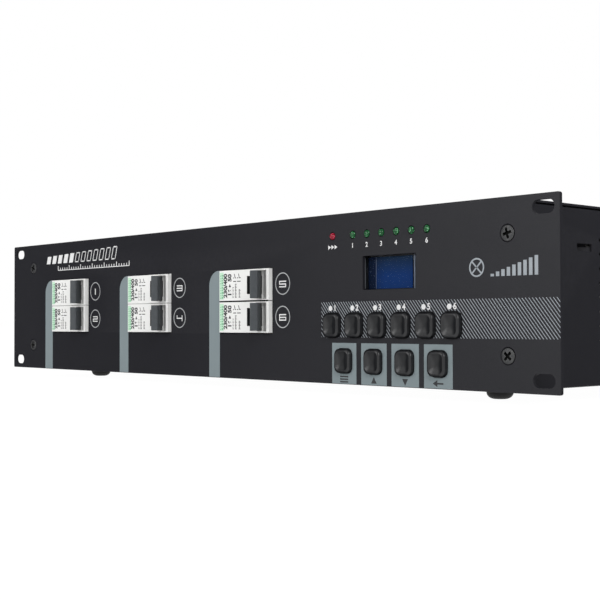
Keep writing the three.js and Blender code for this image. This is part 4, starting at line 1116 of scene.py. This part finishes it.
# Display: the lens and the layers behind it, each slab from and to in x, y and z
layers = (
    ("display_field", displayBlue, "display_face", ((127.6, 152.7, 3.38, 3.5, 4.6, 20.6),)),
    ("display_margin", displayNavy, None, ((122.6, 127.6, 3.38, 3.5, 4.6, 20.6),)),
    # the backlight's edge strip, and a wider patch of it near the top that is a painted glint
    ("display_backlight_edge_and_glint", displayEdge, None,
     ((153.6, 154.5, 3.31, 3.55, 4.4, 20.9), (153.4, 154.6, 3.30, 3.5, 18.2, 19.8))),
    ("display_line", displayLine, None, ((127.7, 128.15, 3.33, 3.5, 4.7, 20.5),)),
    ("display_seal", displaySeal, None, ((121.45, 121.64, 1.75, 2.27, 4.9, 20.6),)),
)
refined("display_lens", windowClear, 0.15)
nodes["display_module"].material_slots[0].material = displayFrame
for name, shine, slot, boxes in layers:
    laid(name, shine, *[slab("layer", box[:2], box[2:4], box[4:]) for box in boxes], slot=slot)
print("case, feet and display made")

# Rear fittings: outlets with earth clips and contact sleeves
outlet = {
    "x": (-182.0, -135.0, -88.0, -41.0, 6.0, 53.0),
    "edge": 0.3, "clipHalf": 2.25, "clipZ": (16.2, 19.8), "clipY": (287.9, 300),
    "sleeveX": 9.5, "sleeve": ((287.2, 287.95), 2.55, 24),
    "bore": ((286, 289), 1.95, 24), "screw": (18.6, 20.6, 305.3),
}
for number, x in enumerate(outlet["x"], start=1):
    piece = refined(f"outlet_{number}", fittingBlack, outlet["edge"])
    middle = at(x, 0, 0)

    def onClip(face):  # the earth contacts at the top and the bottom of the well
        across, back, up = (face.center - middle) / mm
        return (
            abs(across) < outlet["clipHalf"]
            and outlet["clipZ"][0] < abs(up) < outlet["clipZ"][1]
            and outlet["clipY"][0] < back < outlet["clipY"][1]
        )

    inked(piece, nickelPins, onClip)
    sleeves = []
    for place in (x - outlet["sleeveX"], x + outlet["sleeveX"]):
        sleeve = rod("sleeve", place, 0, *outlet["sleeve"])
        sleeves.append(cutBy(sleeve, rod("bore", place, 0, *outlet["bore"])))
    laid(f"outlet_sleeves_{number}", nickelPins, *sleeves)

# Signal sockets: the inlet has metal pins and the outlet a metal latch
socket = {"x": 157.0, "z": 17.5, "edge": 0.25, "pinReach": 7.2, "pinY": (291.5, 303.8),
          "latchHalf": 3.1, "latchLow": 10.4, "latchFront": 304.5, "screw": (9.6, 12.1, 304.3)}
inletMiddle = at(socket["x"], 0, socket["z"])
outletMiddle = at(socket["x"], 0, -socket["z"])


def onPin(face):
    across, back, up = (face.center - inletMiddle) / mm
    within = math.hypot(across, up) < socket["pinReach"]
    return within and socket["pinY"][0] < back < socket["pinY"][1]


def onLatch(face):
    across, back, up = (face.center - outletMiddle) / mm
    within = abs(across) < socket["latchHalf"] and up > socket["latchLow"]
    return within and back > socket["latchFront"]


for node, test in (("signal_inlet", onPin), ("signal_outlet", onLatch)):
    inked(refined(node, fittingBlack, socket["edge"]), nickelPins, test)

# Cable gland with grips round its nut and a rubber seal
gland = {
    "x": 189.5, "edge": 0.35, "grips": 12, "gripWidth": 1.7, "gripY": (306.3, 315.4),
    "gripZ": (12.9, 14.2), "slopeFrom": (315, 14), "slope": (0, -0.8 * mm, -0.3 * mm),
    "gripEdge": 0.2,
    "seal": ((7.95, 316), (7.95, 320.2), (7.6, 320.9), (6.6, 321.1), (5.6, 320.4)),
    "bore": ((310, 330), 5.2, 40),
}
x = gland["x"]
body = softened(copied("cable_gland", "cable_gland_piece"), gland["edge"])
outer = at(0, *gland["slopeFrom"])
grips = []
for i in range(gland["grips"]):
    grip = slab("grip", around(x, gland["gripWidth"]), gland["gripY"], gland["gripZ"])
    pulled(grip, lambda point: point.co.y > outer.y and point.co.z > outer.z, gland["slope"])
    grips.append(spun(grip, at(x, 0, 0), math.tau / gland["grips"] * i))
only(body, softened(merged("gland_grips", *grips), gland["gripEdge"], 1))
bpy.ops.object.join()
mounted(body, fittingBlack, stands=["cable_gland"])
seal = cutBy(turned("gland_seal", (x, 0, 0), gland["seal"]), rod("bore", x, 0, *gland["bore"]))
mounted(shaded(seal), footRubber)

# Fan with its guard, and the screws that hold the rear fittings
fan = {"x": 110.0, "hole": 25.0, "face": 303.9}
refined("fan_frame", fittingBlack, 0.4, 1)
refined("fan_guard", zincSteel, 0.12, 1)
refined("fan_rotor", fittingBlack, 0.2, 1, "fan_impeller")
panHead = {
    "profile": ((1.3, -1.0), (1.3, 0.0), (2.6, 0.02), (2.7, 0.5), (2.45, 1.0), (1.9, 1.35),
                (1.1, 1.5), (0.2, 1.55)),
    "sides": 28, "cross": (1.5, 0.3), "deep": (0.5, 3), "edge": 0.04, "turn": 37,
}
places = []
wide, high, y = outlet["screw"]
for x in outlet["x"]:
    places += [(x - wide, y, -high), (x + wide, y, high)]
wide, high, y = socket["screw"]
for z in (-socket["z"], socket["z"]):
    places += [(socket["x"] - wide, y, z + high), (socket["x"] + wide, y, z - high)]
for x in (fan["x"] - fan["hole"], fan["x"] + fan["hole"]):
    places += [(x, fan["face"], -fan["hole"]), (x, fan["face"], fan["hole"])]
first = screwHead("rear_screw", *places[0], panHead)
for number, place in enumerate(places, start=1):
    step = [here - there for here, there in zip(place, places[0])]
    twin = again(first, f"rear_screw_{number}", *step)
    mounted(spun(twin, at(*place), math.radians(panHead["turn"] * number)), zincSteel)
bpy.data.objects.remove(first)
print("rear fittings made")

# Finishes of the solids that stay as they are
finishOf = {
    "control_board": circuitBoard,
    "power_board": circuitBoard,
    "heat_sink": aluminium,
    "transformer": transformerCore,
    "terminal_block": terminalPlastic,
}
finishOf.update({f"breaker_rail_{i}": zincSteel for i in range(1, 4)})
finishOf.update({f"choke_{i}": chokeWinding for i in range(1, 7)})
for node, shine in finishOf.items():
    for place in nodes[node].material_slots:
        place.material = shine


# Floor: pale paper that looks white from above and is clear from below
def seenBy(tree, rays, *kinds):
    seen = rays[kinds[0]]
    for kind in kinds[1:]:
        seen = maths(tree, "MAXIMUM", seen, rays[kind])
    return seen


white = (1, 1, 1, 1)
bpy.ops.mesh.primitive_plane_add(size=40, location=(0, 0, 0))
floor = titled("floor")
paper = bpy.data.materials.new("paleFloor")
paper.use_nodes = True
tree = paper.node_tree
tree.nodes.clear()
rays = put(tree, "LightPath").outputs
seen = seenBy(tree, rays, "Is Camera Ray", "Is Glossy Ray", "Is Transmission Ray")
share = maths(tree, "MULTIPLY", seen, 0.93)
matt = put(tree, "BsdfDiffuse", {"Color": (0.9, 0.9, 0.9, 1)}).outputs[0]
bright = put(tree, "Emission", {"Color": white, "Strength": 1.06}).outputs[0]
upper = put(tree, "MixShader", {0: share, 1: matt, 2: bright}).outputs[0]
under = put(tree, "NewGeometry").outputs["Backfacing"]
clear = put(tree, "BsdfTransparent").outputs[0]
sided = put(tree, "MixShader", {0: under, 1: upper, 2: clear}).outputs[0]
put(tree, "OutputMaterial", {"Surface": sided})
floor.data.materials.append(paper)

# Room: dim as light, white where it is seen and in mirror images of what lies behind
world = bpy.data.worlds.new("studio")
bpy.context.scene.world = world
world.use_nodes = True
tree = world.node_tree
tree.nodes.clear()
rays = put(tree, "LightPath").outputs
place = put(tree, "TexCoord").outputs["Generated"]
back = put(tree, "SeparateXYZ", {0: place}).outputs["Y"]
behind = ranged(tree, back, -0.15, 0.25, 0.0, 1.0)
mirrored = maths(tree, "MULTIPLY", rays["Is Glossy Ray"], behind)
seen = maths(tree, "MAXIMUM", seenBy(tree, rays, "Is Camera Ray", "Is Transmission Ray"), mirrored)
dim = put(tree, "Background", {"Color": white, "Strength": 0.34}).outputs[0]
bright = put(tree, "Background", {"Color": white, "Strength": 1.0}).outputs[0]
mix = put(tree, "MixShader", {0: seen, 1: dim, 2: bright}).outputs[0]
put(tree, "OutputWorld", {"Surface": mix})

# Lights and camera
lights = (  # name, place, side and power
    ("keyLight", (1.72, -1.20, 1.20), 1.1, 31),
    ("fillLight", (-1.00, -1.35, 0.75), 0.9, 2.2),
    ("glossLight", (-0.30, -1.05, 0.40), 0.4, 3.0),
    ("topLight", (0.0, 0.3, 1.9), 1.6, 8),
)
target = Vector((0, 0, 0.05))
for name, place, side, power in lights:
    lamp = bpy.data.lights.new(name, "AREA")
    lamp.shape = "RECTANGLE"
    lamp.size = side
    lamp.size_y = side
    lamp.energy = power
    holder = inScene(name, lamp)
    holder.location = place
    holder.rotation_euler = (target - Vector(place)).to_track_quat("-Z", "Y").to_euler()

view = {"yaw": math.radians(47.998), "pitch": math.radians(1.190), "roll": math.radians(-0.122),
        "focal": 1160.72, "frame": 600, "place": (536.98, -416.78, -13.05)}
lens = bpy.data.cameras.new("camera")
lens.sensor_width = 36
lens.lens = view["focal"] / view["frame"] * lens.sensor_width
lens.clip_start = 0.01
flat = math.cos(view["pitch"])
ahead = Vector((
    -math.sin(view["yaw"]) * flat, math.cos(view["yaw"]) * flat, math.sin(view["pitch"])
))
right = Vector((math.cos(view["yaw"]), math.sin(view["yaw"]), 0))
up = right.cross(ahead)
roll = Matrix.Rotation(view["roll"], 3, ahead).transposed()
turn = Matrix((roll @ right, roll @ up, -ahead)).transposed().to_4x4()
holder = inScene("camera", lens)
holder.matrix_world = Matrix.Translation(at(*view["place"])) @ turn
bpy.context.scene.camera = holder
bpy.context.scene.view_settings.view_transform = "Standard"
print("studio and camera made")
